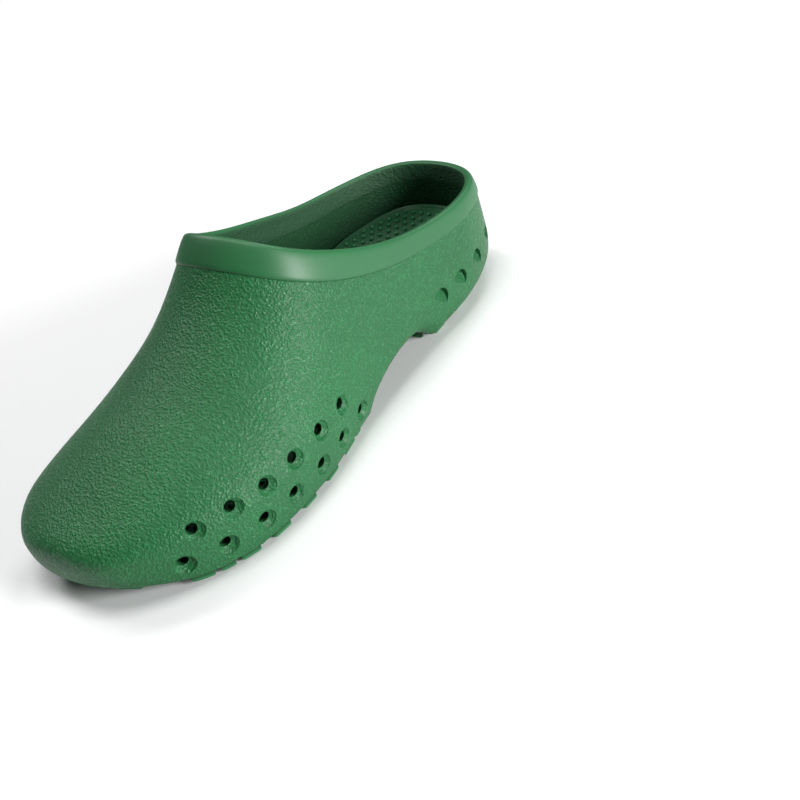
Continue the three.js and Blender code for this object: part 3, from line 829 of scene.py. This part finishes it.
def lug_bodies(first, columns, bevel, dimple, front=None):
    """The lugs inside the shell's edge, and the ends that reach out under it."""
    inner_ring, outer_ring = (border_sides(inset)[2] for inset in (SKIRT + GAP, LUG_INSET))
    inside, ends = [], []
    for kind, centre, polygon in lattice(first, columns):
        whole = clipped(polygon, inner_ring, front)
        reaching = clipped(polygon, outer_ring, front)
        if whole:
            middle = np.mean(whole, 0)
            holed = kind == "hexagon" and np.linalg.norm(middle - centre) < 1.6
            inside.append(lug(whole, bevel, (np.array(centre), dimple) if holed else None))
        if whole and reaching and area(reaching) > area(whole) + 0.5:
            ends.append(lug(reaching, bevel, top=SKIRT_LEVEL - 0.05))
    return inside, ends


def half_hexagon(y, grow=0.0):
    """The front half of a hexagon lug on the waist's front edge, with a short root behind it."""
    radius = HEXAGON_RADIUS + grow
    half = radius * math.sin(math.pi / 3)
    root = TREAD_EDGE - 1
    return [(root, y - half), (TREAD_EDGE + radius / 2, y - half), (TREAD_EDGE + radius, y),
            (TREAD_EDGE + radius / 2, y + half), (root, y + half)]


def row_lines(count=4):
    return [FIRST_ROW + r * ROW_PITCH for r in range(-count, count + 1)]


def column(outline_points, low, high):
    """A closed prism between two levels."""
    return loft([[(x, y, z) for x, y in outline_points] for z in (low, high)], "fans")


# ---------- finishes ----------
INNER_SHADE = 0.45             # painted shade: how dark the faces towards the foot are painted beside the outside
NUB_HIGHLIGHT = 2.4                # and how much lighter the nubs' tips are painted beside the footbed, as a painted highlight
SPINE_ENDS, SPINE_LEVEL = (-90, 80), 20.0   # the line inside that the inner faces look at
SKIN_DEPTH = 0.00005           # depth of the smooth pieces' skin, in metres


def node(tree, kind, inputs=None, **settings):
    """A shader node with its settings and the values or links of its inputs."""
    made = tree.nodes.new(kind)
    for key, value in settings.items():
        setattr(made, key, value)
    for key, value in (inputs or {}).items():
        if isinstance(value, bpy.types.NodeSocket):
            tree.links.new(value, made.inputs[key])
        else:
            made.inputs[key].default_value = value
    return made


def math_node(tree, operation, a, b=0.0, c=0.0):
    return node(tree, "ShaderNodeMath", {0: a, 1: b, 2: c}, operation=operation).outputs[0]


def ranged(tree, value, low, high, to_low=0.0, to_high=1.0):
    made = node(tree, "ShaderNodeMapRange", {"Value": value, "From Min": low, "From Max": high,
                                             "To Min": to_low, "To Max": to_high})
    return made.outputs["Result"]


def new_group(name, inputs, outputs):
    """A shader group with its sockets; inputs are (name, type, default)."""
    group = bpy.data.node_groups.new(name, "ShaderNodeTree")
    for label, kind, default in inputs:
        socket = group.interface.new_socket(label, in_out="INPUT", socket_type=kind)
        socket.default_value = default
    for label, kind in outputs:
        group.interface.new_socket(label, in_out="OUTPUT", socket_type=kind)
    return group, group.nodes.new("NodeGroupInput"), group.nodes.new("NodeGroupOutput")


def attribute(tree, name):
    """A number that is kept for every point of a piece."""
    return node(tree, "ShaderNodeAttribute", attribute_name=name).outputs["Fac"]


def own_place(tree):
    return node(tree, "ShaderNodeTexCoord").outputs["Object"]


def pebble_group():
    """Moulded leather-like pebbles: a height for a bump, and a mask of the pebbles' tops."""
    group, given, out = new_group(
        "pebble_grain",
        [("Scale", "NodeSocketFloat", 620.0), ("Irregularity", "NodeSocketFloat", 0.5)],
        [("Height", "NodeSocketFloat"), ("Tops", "NodeSocketFloat")])
    place = own_place(group)
    sway = node(group, "ShaderNodeTexNoise", {"Vector": place, "Scale": 420.0, "Detail": 2.0})
    shifted = node(group, "ShaderNodeVectorMath",
                   {0: sway.outputs["Color"], 1: (0.5, 0.5, 0.5)}, operation="SUBTRACT")
    amount = math_node(group, "MULTIPLY", given.outputs["Irregularity"], 0.0022)
    bend = node(group, "ShaderNodeVectorMath", {0: shifted.outputs[0], "Scale": amount},
                operation="SCALE")
    bent = node(group, "ShaderNodeVectorMath", {0: place, 1: bend.outputs[0]}, operation="ADD")
    cells = node(group, "ShaderNodeTexVoronoi", {
        "Vector": bent.outputs[0], "Scale": given.outputs["Scale"], "Randomness": 1.0},
        feature="SMOOTH_F1")
    cells.inputs["Smoothness"].default_value = 0.35
    pebbles = ranged(group, cells.outputs["Distance"], 0.08, 0.62, 1.0, 0.0)
    worms = node(group, "ShaderNodeTexNoise", {"Vector": bent.outputs[0], "Scale": 820.0,
                                               "Detail": 1.5, "Roughness": 0.45})
    folds = ranged(group, worms.outputs["Fac"], 0.36, 0.64)
    part = math_node(group, "MULTIPLY", folds, 0.45)
    height = math_node(group, "MULTIPLY_ADD", pebbles, 0.55, part)
    group.links.new(height, out.inputs["Height"])
    group.links.new(ranged(group, height, 0.35, 0.8), out.inputs["Tops"])
    return group


def mottle_group():
    """Slow changes of tone over moulded foam: a mask from 0 to 1."""
    group, given, out = new_group(
        "tone_mottle", [("Scale", "NodeSocketFloat", 22.0)], [("Mask", "NodeSocketFloat")])
    place = own_place(group)
    cloud = node(group, "ShaderNodeTexNoise", {"Vector": place, "Scale": given.outputs["Scale"],
                                               "Detail": 4.0, "Roughness": 0.55})
    group.links.new(ranged(group, cloud.outputs["Fac"], 0.3, 0.7), out.inputs["Mask"])
    return group


def skin_group():
    """The fine skin of smooth moulded foam: a height with faint pores and flow waves."""
    group, given, out = new_group(
        "foam_skin", [("Scale", "NodeSocketFloat", 900.0), ("Waves", "NodeSocketFloat", 0.4)],
        [("Height", "NodeSocketFloat")])
    place = own_place(group)
    pores = node(group, "ShaderNodeTexNoise", {"Vector": place, "Scale": given.outputs["Scale"],
                                               "Detail": 3.0})
    waves = node(group, "ShaderNodeTexNoise", {"Vector": place, "Scale": 60.0, "Detail": 1.0})
    slow = math_node(group, "MULTIPLY", waves.outputs["Fac"], given.outputs["Waves"])
    group.links.new(math_node(group, "ADD", pores.outputs["Fac"], slow), out.inputs["Height"])
    return group


def groove_group():
    """How deep a point lies in the sole's grooves, from the height above the sole: 0 to 1."""
    group, given, out = new_group(
        "groove_depth", [("Depth", "NodeSocketFloat", LUG_HEIGHT * MM)],
        [("Mask", "NodeSocketFloat")])
    share = math_node(group, "DIVIDE", attribute(group, "above_sole"), given.outputs["Depth"])
    group.links.new(ranged(group, share, 0.0, 1.0), out.inputs["Mask"])
    return group


GROUPS = {}


def placed(tree, name, **inputs):
    made = node(tree, "ShaderNodeGroup", node_tree=GROUPS[name])
    for label, value in inputs.items():
        made.inputs[label].default_value = value
    return made.outputs


def two_tones(tree, mask, dark, light):
    mixed = node(tree, "ShaderNodeMix", {"Factor": mask}, data_type="RGBA")
    mixed.inputs["A"].default_value = (*dark, 1)
    mixed.inputs["B"].default_value = (*light, 1)
    return mixed.outputs["Result"]


def multiplied(tree, mask, colour, by):
    """The colour multiplied by a number where the mask is 1."""
    mixed = node(tree, "ShaderNodeMix", {"Factor": mask}, data_type="RGBA", blend_type="MULTIPLY")
    tree.links.new(colour, mixed.inputs["A"])
    mixed.inputs["B"].default_value = (by, by, by, 1)
    return mixed.outputs["Result"]


def shaded(colour, by):
    return tuple(min(c * by, 1.0) for c in colour)


def new_material(name, roughness, specular):
    material = bpy.data.materials.new(name)
    material.use_nodes = True
    tree = material.node_tree
    shader = tree.nodes["Principled BSDF"]
    shader.inputs["Roughness"].default_value = roughness
    shader.inputs["Specular IOR Level"].default_value = specular
    return material, tree, shader


def bump(tree, shader, height, distance):
    made = node(tree, "ShaderNodeBump", {"Height": height, "Distance": distance,
                                         "Strength": 1.0})
    tree.links.new(made.outputs["Normal"], shader.inputs["Normal"])


def grained_rubber(finish):
    """Pebbled upper: satin, with painted shade in the grain's creases, a painted highlight on the
    pebbles' tops and painted shade on the faces towards the foot.
    """
    material, tree, shader = new_material("grained_rubber", 0.42, 0.34)
    colour = tuple(finish.upper)
    grain = placed(tree, "pebble_grain", Scale=1 / max(finish.grain, 1e-5))
    tone = placed(tree, "tone_mottle", Scale=24.0)["Mask"]
    base = two_tones(tree, tone, shaded(colour, 0.9), shaded(colour, 1.08))
    # painted shade darkens the grain's creases; a painted highlight lightens the pebbles' tops
    crease_shade = multiplied(tree, ranged(tree, grain["Tops"], 0.0, 1.0, 1.0, 0.0), base, 0.78)
    tops = multiplied(tree, grain["Tops"], crease_shade, 1.15)
    inner = attribute(tree, "inner_face")
    # painted shade: the faces towards the foot are darkened
    tree.links.new(multiplied(tree, inner, tops, INNER_SHADE), shader.inputs["Base Color"])
    rough = ranged(tree, grain["Tops"], 0.0, 1.0, 0.5, 0.31)
    rough = math_node(tree, "MULTIPLY_ADD", inner, 0.2, rough)
    tree.links.new(rough, shader.inputs["Roughness"])
    bump(tree, shader, grain["Height"], finish.grain_depth)
    return material


def smooth_rubber(name, colour, roughness, specular, wave):
    """Smooth moulded foam with a faint skin, slow tone changes and a painted highlight on any nub
    tips.
    """
    material, tree, shader = new_material(name, roughness, specular)
    tone = placed(tree, "tone_mottle", Scale=30.0)["Mask"]
    base = two_tones(tree, tone, shaded(colour, 0.9), shaded(colour, 1.08))
    # painted highlight: the nubs' tips are lightened
    lit = multiplied(tree, attribute(tree, "nub_tip"), base, NUB_HIGHLIGHT)
    tree.links.new(lit, shader.inputs["Base Color"])
    skin = placed(tree, "foam_skin", Scale=1100.0, Waves=wave)["Height"]
    tree.links.new(ranged(tree, tone, 0.0, 1.0, roughness - 0.03, roughness + 0.04),
                   shader.inputs["Roughness"])
    bump(tree, shader, skin, SKIN_DEPTH)
    return material


def collar_rubber(finish):
    """Smooth rolled band whose inner face takes up the grain of the shell's inside and is painted
    darker as shade.
    """
    material, tree, shader = new_material("collar_rubber", 0.48, 0.5)
    inner = attribute(tree, "inner_face")
    grain = placed(tree, "pebble_grain", Scale=1 / max(finish.grain, 1e-5))
    tone = placed(tree, "tone_mottle", Scale=30.0)["Mask"]
    colour = tuple(finish.collar)
    base = two_tones(tree, tone, shaded(colour, 0.93), shaded(colour, 1.06))
    # painted shade: the band's inner face is darkened
    tree.links.new(multiplied(tree, inner, base, INNER_SHADE), shader.inputs["Base Color"])
    tree.links.new(ranged(tree, inner, 0.0, 1.0, 0.48, 0.7), shader.inputs["Roughness"])
    skin = placed(tree, "foam_skin", Scale=1100.0, Waves=0.5)["Height"]
    fine = math_node(tree, "MULTIPLY", skin, 0.06)
    rough = math_node(tree, "MULTIPLY", grain["Height"], inner)
    bump(tree, shader, math_node(tree, "ADD", fine, rough), finish.grain_depth)
    return material


def lug_rubber(finish):
    """Tread rubber: a painted highlight along the lug edges and painted shade in the matt grooves.
    """
    material, tree, shader = new_material("lug_rubber", 0.45, 0.3)
    colour = tuple(finish.tread)
    tone = placed(tree, "tone_mottle", Scale=35.0)["Mask"]
    base = two_tones(tree, tone, shaded(colour, 0.88), shaded(colour, 1.1))
    deep = placed(tree, "groove_depth")["Mask"]
    # painted highlight: a band along each lug's eased edge is lightened
    edge = ranged(tree, deep, 0.02, 0.16)
    fade = math_node(tree, "MULTIPLY", edge, ranged(tree, deep, 0.45, 0.2))
    lug_edge_highlight = node(tree, "ShaderNodeMix", {"Factor": math_node(tree, "MULTIPLY", fade, 0.75),
                                        "A": base}, data_type="RGBA")
    lug_edge_highlight.inputs["B"].default_value = (*shaded(colour, 2.1), 1)
    # painted shade: the grooves are darkened towards their floors
    dark = node(tree, "ShaderNodeMix", {"Factor": ranged(tree, deep, 0.35, 1.0),
                                        "A": lug_edge_highlight.outputs["Result"]}, data_type="RGBA")
    dark.inputs["B"].default_value = (*shaded(colour, 0.22), 1)
    tree.links.new(dark.outputs["Result"], shader.inputs["Base Color"])
    tree.links.new(ranged(tree, deep, 0.0, 1.0, 0.42, 0.7), shader.inputs["Roughness"])
    skin = placed(tree, "foam_skin", Scale=1300.0, Waves=0.2)["Height"]
    bump(tree, shader, skin, SKIN_DEPTH)
    return material


def vertex_triples(piece, key):
    """The place or the normal of every point of a piece."""
    values = np.zeros(len(piece.data.vertices) * 3, np.float32)
    piece.data.vertices.foreach_get(key, values)
    return values.reshape(-1, 3)


def store(piece, name, values):
    """Keeps a number for every point of a piece, for its material to read."""
    layer = piece.data.attributes.new(name, "FLOAT", "POINT")
    layer.data.foreach_set("value", values.astype(np.float32))


def mark_heights(piece):
    """Stores how far each point stands above the sole's lowest surface, in metres."""
    co = vertex_triples(piece, "co")
    store(piece, "above_sole", co[:, 2] - spring_only((co[:, 0] - SHIFT[0]) / MM) * MM)


def mark_inside(piece):
    """Stores which points of the shell face the foot, seen from a line along its middle."""
    points = (vertex_triples(piece, "co") - SHIFT) / MM
    x = np.clip(points[:, 0], *SPINE_ENDS)
    level = np.full(len(x), SPINE_LEVEL)
    spine = np.column_stack([x, (outer_side(x) + inner_side(x)) / 2, level])
    facing = ((points - spine) * vertex_triples(piece, "normal")).sum(1) < 0
    store(piece, "inner_face", facing)


def mark_nubs(piece, top):
    """Stores how far each point stands above the footbed's dish, as a share of a nub's rise."""
    spots = (vertex_triples(piece, "co") - SHIFT) / MM
    store(piece, "nub_tip", np.clip((spots[:, 2] - top(spots)) / NUB_RISE, 0, 1))


# ---------- settings ----------
def length_setting(label, use, default):
    return bpy.props.FloatProperty(name=label, description=use, unit="LENGTH", default=default)


def colour_setting(label, use, default):
    return bpy.props.FloatVectorProperty(
        name=label, description=use, subtype="COLOR", size=3, min=0, max=1, default=default)


class ClogSizes(bpy.types.PropertyGroup):
    """Sizes of the clog's moulded details."""

    wall: length_setting("Shell wall", "Thickness of the upper shell", SHELL_WALL * MM)
    band_proud: length_setting("Collar swell", "How far the collar band swells past the shell",
                               0.0010)
    vent_bore: length_setting("Vent bore", "Diameter of the side vents", 0.0050)
    vent_bowl: length_setting("Vent bowl", "Radius of the bowl round each vent", 0.0045)
    vent_depth: length_setting("Vent bowl depth", "Depth of that bowl", 0.0024)
    scoop_radius: length_setting("Scoop radius", "Radius of the scoops beside the heel", 0.0048)
    scoop_depth: length_setting("Scoop depth", "Depth of those scoops", 0.0041)
    lug_bevel: length_setting("Lug edge", "Width of the eased edge round each lug", 0.00045)
    dimple: length_setting("Lug dimple", "Half the diagonal of each hexagon lug's dimple", 0.0024)
    nub_radius: length_setting("Nub radius", "Radius of the footbed's massage nubs", 0.00115)
    nub_pitch: length_setting("Nub pitch", "Distance between neighbouring nubs", 0.0046)


class ClogFinish(bpy.types.PropertyGroup):
    """Colours and grain of the clog's materials."""

    upper: colour_setting("Upper", "Green of the grained upper shell", (0.015, 0.135, 0.041))
    collar: colour_setting("Collar", "Green of the smooth collar band", (0.016, 0.116, 0.038))
    # painted shade: the midsole and waist are one foam with the upper, set darker than its green
    sole: colour_setting("Sole", "Dark green of the midsole and waist", (0.010, 0.070, 0.025))
    footbed: colour_setting("Footbed", "Green of the footbed", (0.010, 0.070, 0.025))
    # painted shade: the tread is one foam with the upper, set a little darker than its green
    tread: colour_setting("Tread", "Green of the tread lugs", (0.015, 0.098, 0.034))
    grain: length_setting("Pebble size", "Size of one pebble of the upper's grain", 0.0011)
    grain_depth: length_setting("Pebble depth", "Depth of the upper's grain", 0.00038)


# ---------- operators ----------
class CLOG_OT_upper_shell(bpy.types.Operator):
    """Build the grained upper shell with its vents and heel scoops"""

    bl_idname = "clog.upper_shell"
    bl_label = "Upper shell"

    def execute(self, context):
        sizes = context.scene.clog_sizes
        shell = put_down("upper", shell_body(sizes.wall / MM))
        bowls, bores = vent_tools(
            sizes.vent_bore / MM, sizes.vent_bowl / MM, sizes.vent_depth / MM)
        combine(shell, bowls, "DIFFERENCE")
        combine(shell, bores, "DIFFERENCE")
        scoops = scoop_tools(sizes.scoop_radius / MM, sizes.scoop_depth / MM)
        combine(shell, scoops, "DIFFERENCE")
        mark_inside(shell)
        finish_piece(shell, grained_rubber(context.scene.clog_finish), "clog", "upper_shell")
        return {"FINISHED"}


class CLOG_OT_collar_band(bpy.types.Operator):
    """Build the smooth rolled band round the collar"""

    bl_idname = "clog.collar_band"
    bl_label = "Collar band"

    def execute(self, context):
        sizes, finish = context.scene.clog_sizes, context.scene.clog_finish
        made, inner = band_body(sizes.band_proud / MM, sizes.wall / MM)
        band = put_down("collar", made)
        store(band, "inner_face", inner)
        finish_piece(band, collar_rubber(finish), "clog", "collar_band", 60)
        return {"FINISHED"}


class CLOG_OT_midsole(bpy.types.Operator):
    """Build the midsole with its smooth waist and the half lugs on the waist's front edge"""

    bl_idname = "clog.midsole"
    bl_label = "Midsole"

    def execute(self, context):
        sizes, finish = context.scene.clog_sizes, context.scene.clog_finish
        inset = sizes.wall / MM + CORE_CLEARANCE
        sole = put_down("sole_core", core_body(inset))
        places = np.linspace(HEEL_FRONT + GAP, TREAD_EDGE, 140)
        inner, outer, _ = border_sides(inset)
        stem = plate(places, inner, outer, lambda x: sole_height(x) + 0.2,
                     lambda x: seat_height(x) + 1, 0.1)
        combine(sole, stem, "UNION")
        inner, outer, _ = border_sides(SKIRT + GAP)
        waist = plate(places, inner, outer, sole_height, lambda x: seat_height(x) - 0.12, 0.3)
        combine(sole, waist, "UNION")
        low, high = float(inner(TREAD_EDGE)), float(outer(TREAD_EDGE))
        teeth = [lug(half_hexagon(y), sizes.lug_bevel / MM, pivot=(TREAD_EDGE - 1, y))
                 for y in row_lines() if low < y - ROW_PITCH / 2 and y + ROW_PITCH / 2 < high]
        combine(sole, joined(teeth), "UNION")
        material = smooth_rubber("sole_rubber", tuple(finish.sole), 0.45, 0.3, 0.6)
        finish_piece(sole, material, "clog", "midsole")
        return {"FINISHED"}


def footbed_body(inset):
    """The footbed with its thin raised rim, the ring round its nubs, and its top's height."""
    def lip(x):
        return FOOTBED_LIP * ease(-x / 60)

    bottom = ring_at(inset, bed_height)
    rings = cap_rings(bottom, bed_height, CAP_SHARES[::-1])
    rings.append(bottom)
    for share, back in ((0.15, 0.3), (0.6, 0.0), (0.85, 0.15), (0.95, 0.4)):
        def height(x, share=share):
            return bed_height(x) + (FOOTBED_THICK + lip(x)) * share
        rings.append(ring_at(inset, height) - low_normals * back)
    edge = rings[-1]

    def top(points):
        """The rim, then a dish that sinks slowly towards the middle."""
        away = np.concatenate([
            np.linalg.norm(edge[:, None, :2] - some[None, :, :2], axis=-1).min(0)
            for some in np.array_split(points, max(len(points) // 400, 1))])
        rim = 1 - 0.3 * ease((away - 1.3) / 1.2) - 0.7 * ease((away - 2.2) / 24)
        start = 0.95 + 0.05 * ease(away / 0.6)
        lift = FOOTBED_THICK + lip(points[:, 0]) * rim
        return bed_height(points[:, 0]) + lift * start

    for reach in (0.3, 0.7, 1.2, 1.7, 2.2, 2.8, 3.6):
        ring = edge - low_normals * reach
        ring[:, 2] = top(ring)
        rings.append(ring)
    field = rings[-1]
    for ring in cap_rings(field, bed_height, (0.98, 0.95, 0.91, *CAP_SHARES[1:])):
        ring[:, 2] = top(ring)
        rings.append(ring)
    return loft(rings, "fans"), field[:, :2], top


def inside_ring(ring, x, y):
    """Whether a place lies inside a closed run seen from above."""
    a, b = ring, np.roll(ring, -1, 0)
    spans = (a[:, 1] > y) != (b[:, 1] > y)
    cross = a[:, 0] + (y - a[:, 1]) * (b[:, 0] - a[:, 0]) / np.where(spans, b[:, 1] - a[:, 1], 1)
    return int((spans & (cross > x)).sum()) % 2 == 1


def nub(x, y, level, radius):
    """A low round dome on the footbed."""
    angles = np.arange(12) * math.pi / 6
    heading = np.column_stack([np.cos(angles), np.sin(angles)])
    rows = []
    for size, z in ((1.0, -0.5), (1.0, 0.0), (0.86, 0.45), (0.58, 0.82), (0.25, 0.98)):
        flat = np.array([x, y]) + heading * radius * size
        rows.append(np.column_stack([flat, np.full(12, level + NUB_RISE * z)]))
    return loft(rows, "fans")


class CLOG_OT_footbed(bpy.types.Operator):
    """Build the lift-out footbed with its heel lip and massage nubs"""

    bl_idname = "clog.footbed"
    bl_label = "Footbed"

    def execute(self, context):
        sizes, finish = context.scene.clog_sizes, context.scene.clog_finish
        made, field, top = footbed_body(sizes.wall / MM + FOOTBED_CLEARANCE)
        bed = put_down("insole", made)
        pitch = sizes.nub_pitch / MM
        along, across = NUB_FIELD
        spots = [(x, y) for r, x in enumerate(np.arange(*along, pitch * 0.87))
                 for y in np.arange(*across, pitch) + (r % 2) * pitch / 2
                 if inside_ring(field, x, y)]
        nubs = [nub(x, y, float(level), sizes.nub_radius / MM)
                for (x, y), level in zip(spots, top(np.array(spots)))]
        combine(bed, joined(nubs), "UNION")
        mark_nubs(bed, top)
        material = smooth_rubber("footbed_foam", tuple(finish.footbed), 0.5, 0.28, 0.3)
        finish_piece(bed, material, "insole", "footbed")
        return {"FINISHED"}


class CLOG_OT_treads(bpy.types.Operator):
    """Build the forefoot and heel treads with their hexagon and diamond lugs"""

    bl_idname = "clog.treads"
    bl_label = "Treads"

    def execute(self, context):
        sizes = context.scene.clog_sizes
        material = lug_rubber(context.scene.clog_finish)
        bevel, dimple = sizes.lug_bevel / MM, sizes.dimple / MM
        inner, outer, ring = border_sides(SKIRT + GAP - 0.1)

        def web_low(x):
            return spring_only(x) + LUG_HEIGHT

        def web_high(x):
            return spring_only(x) + TREAD_DEPTH

        tip = float(ring[:, 0].max()) - 0.02
        places = TREAD_EDGE + GAP + (tip - TREAD_EDGE - GAP) * np.sin(
            np.linspace(0, math.pi / 2, 80))
        front = put_down("front_tread", plate(places, inner, outer, web_low, web_high, 0.2))
        notches = [column(half_hexagon(y, 0.4), -2.0, 8.0) for y in row_lines()]
        combine(front, joined(notches), "DIFFERENCE")
        columns = int((tip - TREAD_EDGE) / COLUMN_PITCH) + 1
        for lugs in lug_bodies(TREAD_EDGE + COLUMN_PITCH, columns, bevel, dimple):
            combine(front, joined(lugs), "UNION")
        mark_heights(front)
        finish_piece(front, material, "clog", "forefoot_tread", sharp=24)

        end = float(ring[:, 0].min()) + 0.02
        places = end + (HEEL_FRONT - end) * (1 - np.sin(np.linspace(math.pi / 2, 0, 60)))
        back = put_down("heel_tread_lugs", plate(places, inner, outer, web_low, web_high, 0.2))
        columns = int((HEEL_FRONT - end) / COLUMN_PITCH) + 2
        first = HEEL_FRONT + COLUMN_PITCH / 2 - columns * COLUMN_PITCH
        for lugs in lug_bodies(first, columns + 1, bevel, dimple, HEEL_FRONT):
            combine(back, joined(lugs), "UNION")
        side_in, side_out = RECESS_SIDES
        round_radius = (side_out - side_in) / 2
        turn = np.linspace(math.pi / 2, math.pi * 1.5, 40)
        outline_points = [(0, side_in), (0, side_out)]
        outline_points += [(RECESS_END + round_radius + round_radius * math.cos(t),
                            (side_in + side_out) / 2 + round_radius * math.sin(t)) for t in turn]
        combine(back, column(outline_points, -2.0, 9.0), "DIFFERENCE")
        mark_heights(back)
        finish_piece(back, material, "clog", "heel_tread", sharp=24)
        return {"FINISHED"}


# ---------- stage ----------
# Name, degrees round from the toe, degrees up, width in metres and power in watts
STUDIO = (
    ("key", 95, 16, 0.6, 33), ("top", 0, 90, 0.7, 11), ("behind", 185, 45, 0.6, 6),
    ("inner_side", 265, 45, 0.6, 9),
)
LIGHT_REACH, LIGHT_AIM = 1.5, (0, 0, 0.03)   # metres
FLOOR_REACH, FLOOR_LEVEL = 4.0, -0.0001      # metres
FLOOR_FADE = (0.24, 0.7)       # metres from the clog over which the floor fades to white
SKY_LIGHT, SKY_SEEN = 0.04, 1.0              # strength for the clog, and for the background
SENSOR_WIDTH, CAMERA_LENS = 36, 66.18        # mm
CAMERA_PLACE = (352.38, 413.04, 365.82)
CAMERA_AIM = (-17.93, 48.29, 0.0)
CAMERA_ROLL = -18.13           # degrees


def camera_turn():
    """The camera's rotation, from where it looks and how far it is rolled."""
    back = (Vector(CAMERA_PLACE) - Vector(CAMERA_AIM)).normalized()
    right = Vector((0, 0, 1)).cross(back).normalized()
    right = Matrix.Rotation(math.radians(CAMERA_ROLL), 3, back) @ right
    return Matrix((right, back.cross(right), back)).transposed().to_4x4()


def studio_light(name, turn, rise, size, power):
    """A soft round light aimed at the clog from LIGHT_REACH away."""
    data = bpy.data.lights.new(name, "AREA")
    data.shape, data.size, data.energy = "DISK", size, power
    light = bpy.data.objects.new(name, data)
    level, up = math.cos(math.radians(rise)), math.sin(math.radians(rise))
    turn = math.radians(turn)
    heading = Vector((level * math.cos(turn), level * math.sin(turn), up))
    light.location = Vector(LIGHT_AIM) + heading * LIGHT_REACH
    light.rotation_mode = "QUATERNION"
    light.rotation_quaternion = heading.to_track_quat("Z", "Y")
    bpy.context.scene.collection.objects.link(light)


class CLOG_OT_stage(bpy.types.Operator):
    """Set up the pale floor, the soft studio light and the camera"""

    bl_idname = "clog.stage"
    bl_label = "Stage"

    def execute(self, context):
        scene = context.scene
        corners = [(x * FLOOR_REACH, y * FLOOR_REACH, FLOOR_LEVEL)
                   for x, y in ((-1, -1), (1, -1), (1, 1), (-1, 1))]
        mesh = bpy.data.meshes.new("floor")
        mesh.from_pydata(corners, [], [(0, 1, 2, 3)])
        floor = bpy.data.objects.new("floor", mesh)
        scene.collection.objects.link(floor)
        paper, tree, shader = new_material("pale_floor", 0.75, 0.25)
        shader.inputs["Base Color"].default_value = (0.9, 0.9, 0.905, 1)
        seen_from = node(tree, "ShaderNodeNewGeometry")
        away = node(tree, "ShaderNodeVectorMath", {0: seen_from.outputs["Position"]},
                    operation="LENGTH").outputs["Value"]
        faded = ranged(tree, away, *FLOOR_FADE)
        gone = math_node(tree, "MAXIMUM", seen_from.outputs["Backfacing"], faded)
        clear = node(tree, "ShaderNodeBsdfTransparent").outputs[0]
        either = node(tree, "ShaderNodeMixShader", {0: gone, 1: shader.outputs[0], 2: clear})
        tree.links.new(either.outputs[0], tree.nodes["Material Output"].inputs["Surface"])
        mesh.materials.append(paper)

        world = bpy.data.worlds.new("studio")
        world.use_nodes = True
        sky = world.node_tree.nodes["Background"]
        sky.inputs["Color"].default_value = (1, 1, 1, 1)
        seen = node(world.node_tree, "ShaderNodeLightPath").outputs["Is Camera Ray"]
        strength = ranged(world.node_tree, seen, 0.0, 1.0, SKY_LIGHT, SKY_SEEN)
        world.node_tree.links.new(strength, sky.inputs["Strength"])
        scene.world = world
        for name, turn, rise, size, power in STUDIO:
            studio_light(name, turn, rise, size, power)
        scene.view_settings.view_transform = "Standard"

        camera = bpy.data.objects.new("camera", bpy.data.cameras.new("camera"))
        camera.data.sensor_width = SENSOR_WIDTH
        camera.data.lens = CAMERA_LENS
        place = Vector(to_frame(CAMERA_PLACE))
        camera.matrix_world = Matrix.Translation(place) @ camera_turn()
        scene.collection.objects.link(camera)
        scene.camera = camera
        return {"FINISHED"}


class CLOG_PT_sidebar(bpy.types.Panel):
    """The clog's pieces, sizes and colours"""

    bl_idname = "CLOG_PT_sidebar"
    bl_label = "Garden clog"
    bl_space_type = "VIEW_3D"
    bl_region_type = "UI"
    bl_category = "Clog"

    def draw(self, context):
        for label, settings in (("Sizes", context.scene.clog_sizes),
                                ("Finish", context.scene.clog_finish)):
            box = self.layout.box()
            box.label(text=label)
            for name in settings.__annotations__:
                box.prop(settings, name)
        for operator in OPERATORS:
            self.layout.operator(operator.bl_idname)


OPERATORS = (CLOG_OT_stage, CLOG_OT_upper_shell, CLOG_OT_collar_band, CLOG_OT_midsole,
             CLOG_OT_footbed, CLOG_OT_treads)
CLASSES = (ClogSizes, ClogFinish, *OPERATORS, CLOG_PT_sidebar)


def register():
    for cls in CLASSES:
        bpy.utils.register_class(cls)
    bpy.types.Scene.clog_sizes = bpy.props.PointerProperty(type=ClogSizes)
    bpy.types.Scene.clog_finish = bpy.props.PointerProperty(type=ClogFinish)


def unregister():
    del bpy.types.Scene.clog_finish
    del bpy.types.Scene.clog_sizes
    for cls in reversed(CLASSES):
        bpy.utils.unregister_class(cls)


def main():
    register()
    GROUPS.update(pebble_grain=pebble_group(), tone_mottle=mottle_group(),
                  foam_skin=skin_group(), groove_depth=groove_group())
    bpy.ops.clog.stage()
    bpy.ops.clog.upper_shell()
    bpy.ops.clog.collar_band()
    bpy.ops.clog.midsole()
    bpy.ops.clog.footbed()
    bpy.ops.clog.treads()


if __name__ == "__main__":
    main()
